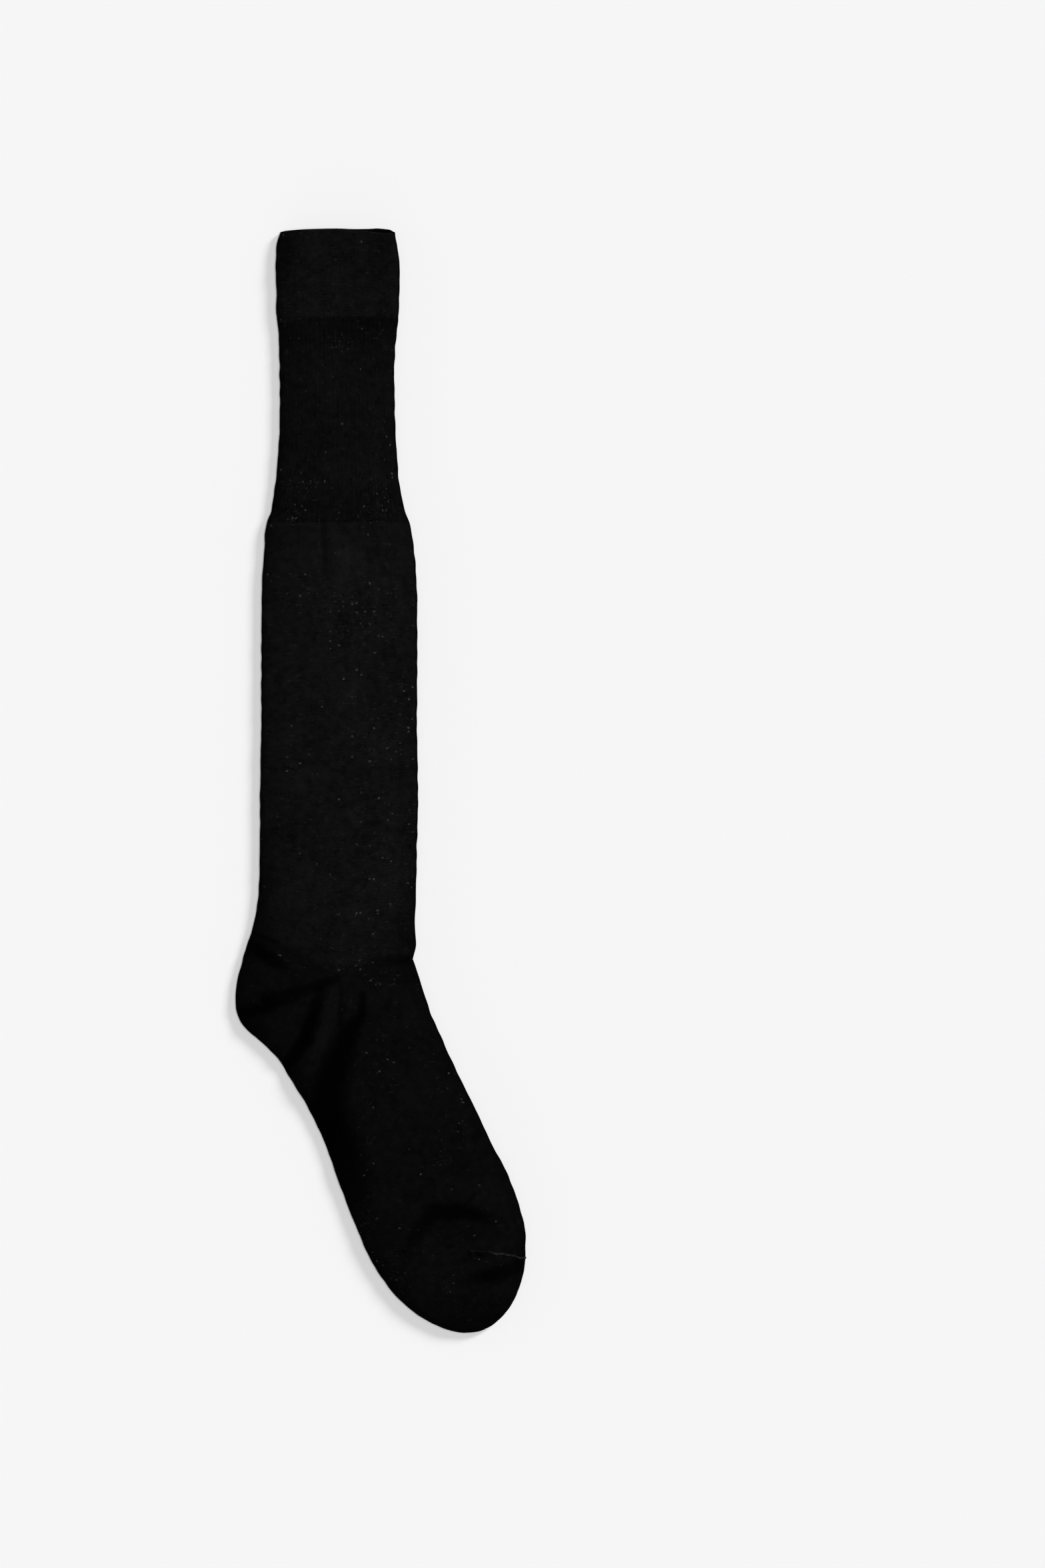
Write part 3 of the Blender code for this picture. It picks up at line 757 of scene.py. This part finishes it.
# Each row is the share of the way from the back to the front, and the drop of the lower and of the
# upper layer there, as shares of RIM_DROP.
RIM_ROWS = (
    (0, 0.56, 0.56), (0.03, 0.44, 0.44), (0.09, 0.32, 0.32), (0.18, 0.2, 0.2), (0.3, 0.12, 0.12),
    (0.6, 0.1, 0.14), (0.7, 0.1, 0.32), (0.78, 0.07, 0.56), (0.85, 0, 0.72), (0.91, 0.1, 0.84),
    (0.96, 0.24, 0.8), (1, 0.6, 0.8),
)
MOUTH_GAPE = 0.0008
MOUTH_GAPE_AT = 0.86
MOUTH_GAPE_SPREAD = 0.14
RIM_FADE = 0.010
RIM_ROLL = 9
HEM_STEP = 0.00012
HEM_ROUND = 0.0016


def rim_shares(grid):
    """Share of each wale's way from the rim's back to its front, and whether it is an upper one."""
    columns = grid.shape[1]
    back, front = grid[0, 0, 0], grid[0, columns // 2, 0]
    share = np.clip((grid[0, :, 0] - back) / (front - back), 0, 1)
    return share, np.arange(columns) < columns // 2


def mouth(grid):
    """The cuff's rows moved at the rim: each layer drops as its row of the table says, and the upper
    one also rises where the mouth gapes. Both fade with a smooth step over RIM_FADE."""
    share, upper = rim_shares(grid)
    rows = np.array(RIM_ROWS)
    drops = through(rows[:, 0], rows[:, 1:], share)
    drop = RIM_DROP * np.where(upper, drops[:, 1], drops[:, 0])
    gape = MOUTH_GAPE * np.exp(-(((share - MOUTH_GAPE_AT) / MOUTH_GAPE_SPREAD) ** 2)) * upper
    gape *= arch(share)
    near_rim = 1 - smooth_step((rim_top - grid[..., 1]) / RIM_FADE)
    moved = grid.copy()
    moved[..., 1] -= drop * near_rim
    moved[..., 2] += gape * near_rim
    return moved


def rolled(skin, outward, wall):
    """Rows of the rim's fold, half an oval from the inner skin to the outer one about a line midway
    between them."""
    ahead = unit(skin[0] - skin[3])
    middle = skin[0] - outward[0] * wall / 2
    turn = np.linspace(math.pi, 0, RIM_ROLL + 2)[1:-1, None, None]
    return middle + wall / 2 * np.cos(turn) * outward[0] + RIM_BULGE * np.sin(turn) * ahead


# %% Make the tube pieces
# Painted shade darkens the inner skin and the rolled rim. Where the mouth opens, the upper rim gets a
# painted highlight and the lower rim the inner skin's painted shade.
INSIDE_PAINTED_SHADE = 0.20
RIM_PAINTED_SHADE = 0.40
OPEN_RIM_PAINTED_HIGHLIGHT = 1.60
MOUTH_OPENS = (0.70, 0.76)


def tube(name, node, surface, relief, wall, rim_highlight_and_shade=None):
    """A round piece of the sock: relief, inner skin in painted shade, and a rolled rim if the rim's
    painted highlight and shade are given.
    """
    grid, shades = surface
    outward = facing(grid)
    skin = finished(grid, outward, relief)
    back_again = inner_rows(len(grid))
    inner = (skin - outward * wall)[back_again]
    rows = [skin, inner]
    counts = [course_numbers(grid), course_numbers(grid)[back_again]]
    tone_rows = [shades, INSIDE_PAINTED_SHADE * shades[back_again]]
    if rim_highlight_and_shade is not None:
        rim = rolled(skin, outward, wall)
        rows.append(rim)
        counts.append(np.zeros(len(rim)))
        tone_rows.append(np.tile(shades[0] * rim_highlight_and_shade, (len(rim), 1)))
    points = np.concatenate(rows)
    values = {"tone": np.concatenate(tone_rows), "lint": lint(points)}
    piece = build(name, points + shift, values, WALES, np.concatenate(counts))
    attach(piece, "root")
    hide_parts(node)
    return piece


cuff_grid, cuff_shades = surfaces["cuff"]
hem_height = cuff_grid[..., 1] - spans["cuff"][1]
hem_relief = HEM_STEP * smooth_step(hem_height / HEM_ROUND)
cuff_share, is_upper = rim_shares(cuff_grid)
opening = smooth_step((cuff_share - MOUTH_OPENS[0]) / (MOUTH_OPENS[1] - MOUTH_OPENS[0]))
open_rim_highlight_and_shade = np.where(is_upper, OPEN_RIM_PAINTED_HIGHLIGHT, INSIDE_PAINTED_SHADE)
cuff_rim_highlight_and_shade = RIM_PAINTED_SHADE + (open_rim_highlight_and_shade - RIM_PAINTED_SHADE) * opening
cuff_surface = (mouth(cuff_grid), cuff_shades)
cuff_piece = tube("cuff_welt", "cuff", cuff_surface, hem_relief, CUFF_WALL, cuff_rim_highlight_and_shade)

# %% [markdown]
# ## Garter
#
# Under the cuff the sock is ribbed: two wales stand out and one stays back, all the way round. Bump
# in the material would do from afar, but the ribs are as wide as a matchstick and show at the sides,
# so they are in the mesh, eight points to a rib. They fade just before the borders.

# %% Shape the ribs
WALES_PER_RIB = 3
RIB_DEPTH = 0.00012
RIB_POWER = 0.7
RIB_LEVEL = 0.6
RIB_FADE = 0.0022


def end_fade(grid, top, bottom, reach):
    """0 at both borders of a piece, rising to 1 over the reach."""
    height = grid[..., 1]
    return smooth_step((top - height) / reach) * smooth_step((height - bottom) / reach)


garter_grid, _ = surfaces["garter"]
wale = np.arange(garter_grid.shape[1]) * WALES / garter_grid.shape[1]
ribs = RIB_DEPTH * (abs(np.cos(math.pi * wale / WALES_PER_RIB)) ** RIB_POWER - RIB_LEVEL)
garter_relief = ribs * end_fade(garter_grid, *spans["garter"], RIB_FADE)
garter_piece = tube("garter_rib", "garter", surfaces["garter"], garter_relief, WALL)

# %% [markdown]
# ## Band, calf and foot
#
# These are plain knit. Their shape is the outline, the arch and the folds, with no relief of their
# own but the soft lumps. The calf is knitted more loosely than the foot and looks lighter, so its
# tone goes over into theirs in the last courses before the ankle.

# %% Make the plain pieces
FOOT_TO_CALF_TONE = 0.62
ANKLE_FADE = 0.0075

calf_grid, calf_shades = surfaces["calf"]
to_ankle = np.linalg.norm(calf_grid[..., :2] - calf_grid[-1:, :, :2], axis=-1)
near_foot = 1 - smooth_step(to_ankle / ANKLE_FADE)
calf_shades = calf_shades * (1 - (1 - FOOT_TO_CALF_TONE) * near_foot)
band_piece = tube("knee_band", "band", surfaces["band"], 0.0, WALL)
calf_piece = tube("calf_tube", "calf", (calf_grid, calf_shades), 0.0, WALL)
foot_piece = tube("foot_tube", "foot", surfaces["foot"], 0.0, WALL)

# %% [markdown]
# ## Heel
#
# The heel's courses go only over the back half of the tube and all meet at the ankle's side points.
# In the grid that makes two columns of equal points, which merge into one when the mesh is built.

# %% Make the heel
heel_grid, heel_shades = surfaces["heel"]
over_the_back = np.r_[3 * PLAIN_QUARTER : 4 * PLAIN_QUARTER, 0 : PLAIN_QUARTER + 1]
heel_outward = facing(heel_grid)[:, over_the_back]
heel_outward[:, 0] = (0, 0, -1)
heel_outward[:, -1] = (0, 0, 1)
heel_plain = heel_grid[:, over_the_back]
heel_tones = heel_shades[:, over_the_back]
heel_skin = finished(heel_plain, heel_outward, 0.0)
heel_back_again = inner_rows(len(heel_plain))
heel_points = np.concatenate((heel_skin, (heel_skin - heel_outward * WALL)[heel_back_again]))
heel_counts = course_numbers(heel_plain)
heel_piece = build(
    "heel_pocket",
    heel_points + shift,
    {"tone": np.concatenate((heel_tones, heel_tones[heel_back_again])), "lint": lint(heel_points)},
    WALES / 2,
    np.concatenate((heel_counts, heel_counts[heel_back_again])),
    wrap_columns=False,
)
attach(heel_piece, "root")
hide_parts("heel")

# %% [markdown]
# ## Toe
#
# Both skins of the toe end in an arc where the upper and the lower layer meet. So its rows run from
# the inner tip to the seam and out again to the outer tip, and do not close on themselves.

# %% Make the toe
toe_grid, toe_shades = surfaces["toe"]
toe_outward = facing(toe_grid)
across_the_arc = -np.arange(toe_grid.shape[1]) % toe_grid.shape[1]
toe_outward[-1] = unit(toe_outward[-1] + toe_outward[-1, across_the_arc])
toe_skin = finished(toe_grid, toe_outward, 0.0)
toe_skin[-1] = (toe_skin[-1] + toe_skin[-1, across_the_arc]) / 2
from_tip = inner_rows(len(toe_grid))
toe_points = np.concatenate(((toe_skin - toe_outward * WALL)[from_tip], toe_skin))
toe_counts = course_numbers(toe_grid)
toe_piece = build(
    "toe_cap",
    toe_points + shift,
    {"tone": np.concatenate((toe_shades[from_tip], toe_shades)), "lint": lint(toe_points)},
    WALES,
    np.concatenate((toe_counts[from_tip], toe_counts)),
    wrap_rows=False,
)
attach(toe_piece, "root")
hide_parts("toe")

# %% [markdown]
# ## Toe seam
#
# The toe is closed by linking loop to loop, which leaves a raised line over the instep's half. A
# profile carried along a path makes it: a low oval that swells and shrinks with each loop, on the line
# between foot and toe. Its cloth is painted far lighter than the toe's, a painted highlight where the
# ridge catches the light, brightest over its right half and uneven along it.

# %% Make the seam
SEAM_START = 0.30
SEAM_HALF_WIDTH = 0.00056
SEAM_HALF_HEIGHT = 0.00032
SEAM_RISE = 0.00012
SEAM_LOOP = 0.0023
SEAM_SWELL = 0.14
SEAM_WANDER = 0.00022
SEAM_WANDER_WAVES = (0.0131, 0.0074)
SEAM_HIGHLIGHT_WAVES = (0.0057, 0.0093)
# The seam's painted highlight rises towards its right half and is uneven along it.
SEAM_HIGHLIGHT_START = 0.34
SEAM_HIGHLIGHT_RISE = 0.50
SEAM_HIGHLIGHT_FROM = 0.10
SEAM_HIGHLIGHT_OVER = 0.22
SEAM_HIGHLIGHT_SWING = 0.40
SEAM_END_POWER = 24
SEAM_SIDES = 14
SEAM_STEPS = 260

first_wale = round(PLAIN_QUARTER * (1 + SEAM_START))
seam_wales = slice(first_wale, 4 * PLAIN_QUARTER - first_wale + 1)
seam_line = toe_skin[0, seam_wales] + toe_outward[0, seam_wales] * SEAM_RISE
run = np.concatenate(([0.0], np.cumsum(np.linalg.norm(np.diff(seam_line, axis=0), axis=1))))
reach = np.linspace(0, run[-1], SEAM_STEPS)
path, up = (
    np.column_stack([np.interp(reach, run, part) for part in vectors.T])
    for vectors in (seam_line, toe_outward[0, seam_wales])
)
ahead = unit(np.gradient(path, axis=0))
side = unit(np.cross(ahead, up))
up = np.cross(side, ahead)
long_wave, short_wave = (2 * math.pi * reach / length for length in SEAM_WANDER_WAVES)
wander = np.sin(long_wave) + np.sin(short_wave + 1.0)
path += SEAM_WANDER * wander[:, None] * side
turn = np.linspace(0, 2 * math.pi, SEAM_SIDES, endpoint=False)
ends = np.sqrt(np.clip(1 - abs(2 * reach / run[-1] - 1) ** SEAM_END_POWER, 0, 1))
swell = 1 + SEAM_SWELL * np.cos(2 * math.pi * reach[:, None] / SEAM_LOOP + turn[None, :])
size = ends[:, None] * swell
seam_points = (
    path[:, None, :]
    + (SEAM_HALF_WIDTH * size * np.cos(turn))[..., None] * side[:, None, :]
    + (SEAM_HALF_HEIGHT * size * np.sin(turn))[..., None] * up[:, None, :]
)
seam_points[..., 2] = np.maximum(seam_points[..., 2], 0.0)
along_seam = np.repeat(reach[:, None] / run[-1], SEAM_SIDES, axis=1)
short_wave, long_wave = (2 * math.pi * reach / length for length in SEAM_HIGHLIGHT_WAVES)
uneven = np.sin(short_wave) * np.sin(long_wave + 0.6)
rising = smooth_step((along_seam - SEAM_HIGHLIGHT_FROM) / SEAM_HIGHLIGHT_OVER)
seam_highlight = SEAM_HIGHLIGHT_START + SEAM_HIGHLIGHT_RISE * rising
seam_highlight *= 1 + SEAM_HIGHLIGHT_SWING * uneven[:, None]
seam_piece = build(
    "toe_seam_cord",
    (seam_points + shift)[:, ::-1],
    {"tone": seam_highlight, "lint": np.zeros(size.shape)},
    SEAM_SIDES,
    reach / COURSE_PITCH,
    wrap_rows=False,
)
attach(seam_piece, "root")
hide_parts("toe_seam")

# %% [markdown]
# ## Finishes
#
# Black cotton is never flat black. Dye takes unevenly, single fibres stand off and catch light, and
# short bits of pale lint cling to the loops. A picture would hold all of that, but only at one
# distance. Nodes give it at any, and they are easiest to read as formulas. A Signal wraps a socket
# and turns arithmetic into Math nodes.

# %% A socket that does arithmetic
class Signal:
    """One output of a node, in a paint's tree."""

    def __init__(self, paint, socket):
        self.paint = paint
        self.socket = socket

    def with_math(self, operation, *others):
        values = dict(enumerate((self, *others)))
        return self.paint.node("ShaderNodeMath", {"operation": operation}, values)

    def __add__(self, other):
        return self.with_math("ADD", other)

    __radd__ = __add__

    def __sub__(self, other):
        return self.with_math("SUBTRACT", other)

    def __rsub__(self, other):
        return (self * -1) + other

    def __mul__(self, other):
        return self.with_math("MULTIPLY", other)

    __rmul__ = __mul__

    def __truediv__(self, other):
        return self.with_math("DIVIDE", other)

    def __pow__(self, other):
        return self.with_math("POWER", other)

    def fraction(self):
        return self.with_math("FRACT")

    def size(self):
        return self.with_math("ABSOLUTE")

    def sine(self):
        return self.with_math("SINE")

    def cosine(self):
        return self.with_math("COSINE")

    def over(self, limit):
        return self.with_math("GREATER_THAN", limit)

    def between(self, low, high):
        """0 below low, 1 above high and smooth between, or the reverse if low is the greater."""
        sockets = {"Value": self, "From Min": low, "From Max": high}
        settings = {"interpolation_type": "SMOOTHSTEP"}
        return self.paint.node("ShaderNodeMapRange", settings, sockets)


class Paint:
    """A material, its tree, and the one method that makes its nodes."""

    def __init__(self, name):
        self.material = bpy.data.materials.new(name)
        self.material.use_nodes = True
        self.tree = self.material.node_tree
        self.shader = self.tree.nodes["Principled BSDF"]

    def node(self, kind, settings, sockets, output=0):
        """A node of that kind. Settings are set first, then each socket gets a value or a link."""
        made = self.tree.nodes.new(kind)
        for label, setting in settings.items():
            setattr(made, label, setting)
        for label, value in sockets.items():
            self.feed(made.inputs[label], value)
        return Signal(self, made.outputs[output])

    def feed(self, socket, value):
        if isinstance(value, Signal):
            self.tree.links.new(value.socket, socket)
        else:
            socket.default_value = value


# %% [markdown]
# ## Stitches
#
# In plain knit each stitch shows as a V. Within one wale, the two legs of the V lean against each
# other, so the yarn's height is a wave along the courses whose phase grows with the distance from the
# wale's middle, times a hump across each leg. It is finer than the mesh, so it goes into a bump. It
# also paints the colour darker where the yarn lies low, a painted shade.

# %% Height of the stitches
STITCH_LEAN = 1.3


def stitch_height(wale_count, course_count):
    """Half a cosine wave of course plus lean times distance from the wale's middle, times the root
    of a sine hump over each leg."""
    off_middle = (wale_count.fraction() - 0.5).size()
    yarn = ((course_count + off_middle * STITCH_LEAN) * (2 * math.pi)).cosine() * 0.5 + 0.5
    leg = (off_middle * (2 * math.pi)).sine().with_math("MAXIMUM", 0.0) ** 0.5
    return (yarn * 0.6 + 0.4) * leg


# %% [markdown]
# ## Knit finish
#
# One recipe serves every piece, with other numbers. The dark ground varies over centimetres and in
# streaks along the courses and the wales. Specks of lint are a scatter of cells on the flat knit, each
# with a random number, and only those that pass the limit hold one. The cells are bent by a noise, so
# that no speck is a neat dot. Dark pits between the loops, a painted shade, are made the same way, and
# so are short pale dashes, painted glints on the yarn, in cells stretched along a course or a wale.
# Loose fibres are the lines along which a noise has its middle value, broken up by a second one.

# %% One recipe for the cloth
# Widths, heights, the bend and the cells, across by along, are in millimetres. A radius is in cells,
# a scale is in waves to a metre, and what is pale is added reflectance.
WALE_WIDTH = 1.08
COURSE_HEIGHT = 0.75
BEND = 1.5
DASH_CELL = (4.5, 0.8)
RUN_CELL = (1.1, 7.0)
SHORT_DASH_CELL = (6.0, 1.6)
SHORT_RUN_CELL = (1.6, 4.5)
SPECK_CELL = (2.4, 2.4)
FINE_SPECK_CELL = (1.3, 1.3)
PIT_CELL = (2.0, 2.0)
SPECK_RADIUS = 0.36
PIT_RADIUS = 0.42
PALE_STREAK = (0.56, 0.70)
DARK_STREAK = (0.44, 0.32)
SOFT_SCALE = 55.0
MOTTLE_SCALE = 230.0
GRAIN_SCALE = 1500.0
BUMP_STRENGTH = 0.45
BUMP_HEIGHT = 0.0003
SPECK_PALE = 0.034
FINE_SPECK_PALE = 0.013
# The short dashes' pale is a painted glint, and the pits' dark a painted shade.
DASH_GLINT = 0.0045
FIBRE_PALE = 0.0025
PIT_PAINTED_SHADE = 0.8
SHINE = 0.01
FIBRE_SCALE = 130.0
FIBRE_PATCHES = 95.0


def scatter(paint, place, chance, radius):
    """Soft dots in cells of size 1, each of its own strength: where a cell's random number is over 1
    minus the chance, 1 at the cell's point falling to 0 at the radius."""
    settings = {"feature": "F1", "voronoi_dimensions": "2D"}
    sockets = {"Vector": place, "Scale": 1.0, "Randomness": 1.0}
    distance = paint.node("ShaderNodeTexVoronoi", settings, sockets)
    color = paint.node("ShaderNodeTexVoronoi", settings, sockets, output=1)
    drawn = paint.node("ShaderNodeSeparateColor", {}, {"Color": color})
    strength = paint.node("ShaderNodeSeparateColor", {}, {"Color": color}, output=1)
    chosen = (drawn + chance).over(1.0)
    return distance.between(radius, radius * 0.2) * chosen * (strength**2 * 0.85 + 0.15)


def knit_paint(name, shade, roughness, dashes, runs, flecks):
    """Black cotton knit. shade is its mean reflectance, dashes and runs say how strongly streaks show
    along the courses and along the wales, and flecks is the chance of a speck where lint is 1."""
    paint = Paint(name)
    place = paint.node("ShaderNodeTexCoord", {}, {}, output="Object")
    stitches = paint.node("ShaderNodeUVMap", {"uv_map": "stitches"}, {})
    wale_count = paint.node("ShaderNodeSeparateXYZ", {}, {"Vector": stitches}, output=0)
    course_count = paint.node("ShaderNodeSeparateXYZ", {}, {"Vector": stitches}, output=1)
    tone = paint.node("ShaderNodeAttribute", {"attribute_name": "tone"}, {}, output="Fac")
    lint_here = paint.node("ShaderNodeAttribute", {"attribute_name": "lint"}, {}, output="Fac")

    def noise(vector, scale, detail=2.0, distortion=0.0):
        sockets = {"Vector": vector, "Scale": scale, "Detail": detail, "Distortion": distortion}
        return paint.node("ShaderNodeTexNoise", {}, sockets)

    soft = noise(place, SOFT_SCALE)
    mottle = noise(place, MOTTLE_SCALE, 3.0)
    grain = noise(place, GRAIN_SCALE)
    bend_across = (noise(place, 800.0, 1.0) - 0.5) * BEND
    bend_along = (noise(place, 640.0, 1.0) - 0.5) * BEND

    def cells(width, height, shift_by):
        across = (wale_count * WALE_WIDTH + bend_across) / width + shift_by
        along = (course_count * COURSE_HEIGHT + bend_along) / height + shift_by
        return paint.node("ShaderNodeCombineXYZ", {}, {"X": across, "Y": along})

    dash = noise(cells(*DASH_CELL, 3.0), 1.0, 1.0, 0.4)
    run = noise(cells(*RUN_CELL, 7.0), 1.0, 1.0, 0.3)
    marks = dash.between(*PALE_STREAK) * 1.2 - dash.between(*DARK_STREAK) * 0.9
    lines = run.between(*PALE_STREAK) * 1.1 - run.between(*DARK_STREAK) * 0.8
    ground = (soft - 0.5) * 1.0 + (mottle - 0.5) * 1.3 + (grain - 0.5) * 0.7 + 1.0
    ground = ground + marks * dashes + lines * runs
    height = stitch_height(wale_count, course_count)
    # The tone attribute brings the painted shade and highlight of the folds, the sides, the patches,
    # the rim and the inside, and the stitch height paints the cloth darker where the yarn lies low, a
    # painted shade.
    cloth = ground.with_math("MAXIMUM", 0.2) * tone * (height * 0.3 + 0.85) * shade

    specks = scatter(paint, cells(*SPECK_CELL, 0.0), lint_here * flecks, SPECK_RADIUS)
    fine_cells = cells(*FINE_SPECK_CELL, 9.0)
    fine_specks = scatter(paint, fine_cells, lint_here * (flecks * 1.3), SPECK_RADIUS)
    # Pits are painted shade between the loops.
    pit_shade = scatter(paint, cells(*PIT_CELL, 17.0), lint_here * flecks + 0.03, PIT_RADIUS)
    # Short dashes and runs are painted glints on the yarn.
    dash_cells, run_cells = cells(*SHORT_DASH_CELL, 23.0), cells(*SHORT_RUN_CELL, 31.0)
    short_dash_glints = scatter(paint, dash_cells, lint_here * dashes + dashes * 0.3, 0.34)
    short_run_glints = scatter(paint, run_cells, lint_here * runs + runs * 0.2, 0.32)
    curl = (noise(place, FIBRE_SCALE, 0.0, 0.6) - 0.5).size().between(0.012, 0.003)
    broken = (noise(place, FIBRE_PATCHES, 2.0) + lint_here * 0.03).between(0.61, 0.68)
    fibres = curl * broken
    all_specks = specks * SPECK_PALE + fine_specks * FINE_SPECK_PALE
    pale = all_specks + (short_dash_glints + short_run_glints) * DASH_GLINT
    seen = tone.between(0.10, 0.80)
    grey = cloth * (1 - pit_shade * PIT_PAINTED_SHADE) + (pale + fibres * FIBRE_PALE) * seen
    color = paint.node("ShaderNodeCombineColor", {}, {"Red": grey, "Green": grey, "Blue": grey})
    paint.feed(paint.shader.inputs["Base Color"], color)
    paint.feed(paint.shader.inputs["Roughness"], (grain - 0.5) * 0.12 + roughness)
    fuzz = height * 0.7 + grain * 0.5 + specks * 0.8 + fibres * 0.5
    relief = {"Height": fuzz, "Strength": BUMP_STRENGTH, "Distance": BUMP_HEIGHT}
    bump = paint.node("ShaderNodeBump", {}, relief)
    paint.feed(paint.shader.inputs["Normal"], bump)
    paint.feed(paint.shader.inputs["Specular IOR Level"], SHINE)
    return paint.material


# %% Dress each piece
Finish = namedtuple("Finish", "piece slot shade roughness dashes runs flecks")
FINISHES = (
    Finish(cuff_piece, "cuff_knit", 0.0034, 0.90, 0.30, 0.14, 0.03),
    Finish(garter_piece, "garter_knit", 0.0028, 0.92, 0.10, 0.26, 0.09),
    Finish(band_piece, "band_knit", 0.0038, 0.90, 0.04, 0.12, 0.03),
    Finish(calf_piece, "calf_knit", 0.0037, 0.90, 0.24, 0.06, 0.08),
    Finish(heel_piece, "heel_knit", 0.0021, 0.94, 0.05, 0.05, 0.01),
    Finish(foot_piece, "foot_knit", 0.0022, 0.92, 0.08, 0.05, 0.035),
    Finish(toe_piece, "toe_knit", 0.0020, 0.92, 0.05, 0.05, 0.05),
    # The toe seam's much lighter shade is a painted highlight along its ridge.
    Finish(seam_piece, "toe_seam_knit", 0.0130, 0.80, 0.0, 0.0, 0.0),
)
for finish in FINISHES:
    cloth = knit_paint(finish.piece.name + "_cloth", *finish[2:])
    finish.piece.data.materials.append(cloth)

# %% [markdown]
# ## Floor, light and camera
#
# The ground is a photographer's sweep: plain and pale, level round the sock, and rising far off like
# the rim of a shallow dish, so that a low view shows no horizon. A flat plane would do for the view
# from above. Most light comes from a lamp overhead. A second lamp stands low on the instep's side,
# towards the cuff, and its light casts the soft shadow behind the back edge and below the toe. The
# camera looks straight down through a long lens from far off, so that the upper layer isn't drawn
# larger than the outline on the ground.

# %% Floor
FLOOR_RADIUS = 30.0
LEVEL_RADIUS = 6.0
FLOOR_RISE = 7.0
FLOOR_GREY = 0.80
FLOOR_RINGS = 48
FLOOR_SPOKES = 96
FLOOR_RING_POWER = 1.5

ring_radius = FLOOR_RADIUS * np.linspace(0, 1, FLOOR_RINGS) ** FLOOR_RING_POWER
rise = np.clip((ring_radius - LEVEL_RADIUS) / (FLOOR_RADIUS - LEVEL_RADIUS), 0, 1)
spoke = np.linspace(0, 2 * math.pi, FLOOR_SPOKES, endpoint=False)
sweep = np.dstack(
    (
        np.outer(ring_radius, np.cos(spoke)),
        np.outer(ring_radius, np.sin(spoke)),
        np.outer(FLOOR_RISE * rise**2, np.ones(FLOOR_SPOKES)),
    )
)
floor = build("floor", sweep, {}, FLOOR_SPOKES, ring_radius, wrap_rows=False)
floor_paint = Paint("pale_floor")
floor_colour = (FLOOR_GREY, FLOOR_GREY, FLOOR_GREY, 1.0)
floor_paint.feed(floor_paint.shader.inputs["Base Color"], floor_colour)
floor_paint.feed(floor_paint.shader.inputs["Roughness"], 0.9)
floor_paint.feed(floor_paint.shader.inputs["Specular IOR Level"], 0.0)
floor.data.materials.append(floor_paint.material)
floor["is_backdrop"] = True

# %% Light
SKY_STRENGTH = 0.110

Lamp = namedtuple("Lamp", "name strength softness tilt turn")
# softness is the angle that the lamp fills, tilt is from straight above, and turn is from the
# picture's right towards its top, all in degrees
LAMPS = (
    Lamp("overhead_lamp", 2.14, 20, 8, 20),
    Lamp("low_lamp", 2.36, 16, 64, 40),
)

world = bpy.data.worlds.new("soft_studio")
world.use_nodes = True
sky = world.node_tree.nodes["Background"]
sky.inputs["Color"].default_value = (1.0, 1.0, 1.0, 1.0)
sky.inputs["Strength"].default_value = SKY_STRENGTH
bpy.context.scene.world = world
for lamp in LAMPS:
    light = bpy.data.lights.new(lamp.name, "SUN")
    light.energy = lamp.strength
    light.angle = math.radians(lamp.softness)
    light_object = bpy.data.objects.new(lamp.name, light)
    light_object.rotation_euler = (0.0, math.radians(lamp.tilt), math.radians(lamp.turn))
    bpy.context.scene.collection.objects.link(light_object)

# %% Camera
PIXEL = 0.000385
IMAGE_SIZE = (1568, 2352)
SOCK_CENTRE_PIXEL = (571.2, 1171.0)
LENS = 600.0
SENSOR = 36.0

view_height = IMAGE_SIZE[1] * PIXEL
camera_data = bpy.data.cameras.new("overhead")
camera_data.lens = LENS
camera_data.sensor_width = SENSOR
camera_data.sensor_fit = "AUTO"
camera = bpy.data.objects.new("overhead", camera_data)
camera.location = (
    (IMAGE_SIZE[0] / 2 - SOCK_CENTRE_PIXEL[0]) * PIXEL,
    (SOCK_CENTRE_PIXEL[1] - IMAGE_SIZE[1] / 2) * PIXEL,
    view_height * LENS / SENSOR,
)
bpy.context.scene.collection.objects.link(camera)
bpy.context.scene.camera = camera
print("camera at", [round(value, 4) for value in camera.location])

# %% Tone
tone = bpy.context.scene.view_settings
tone.view_transform = "Standard"
tone.look = "None"
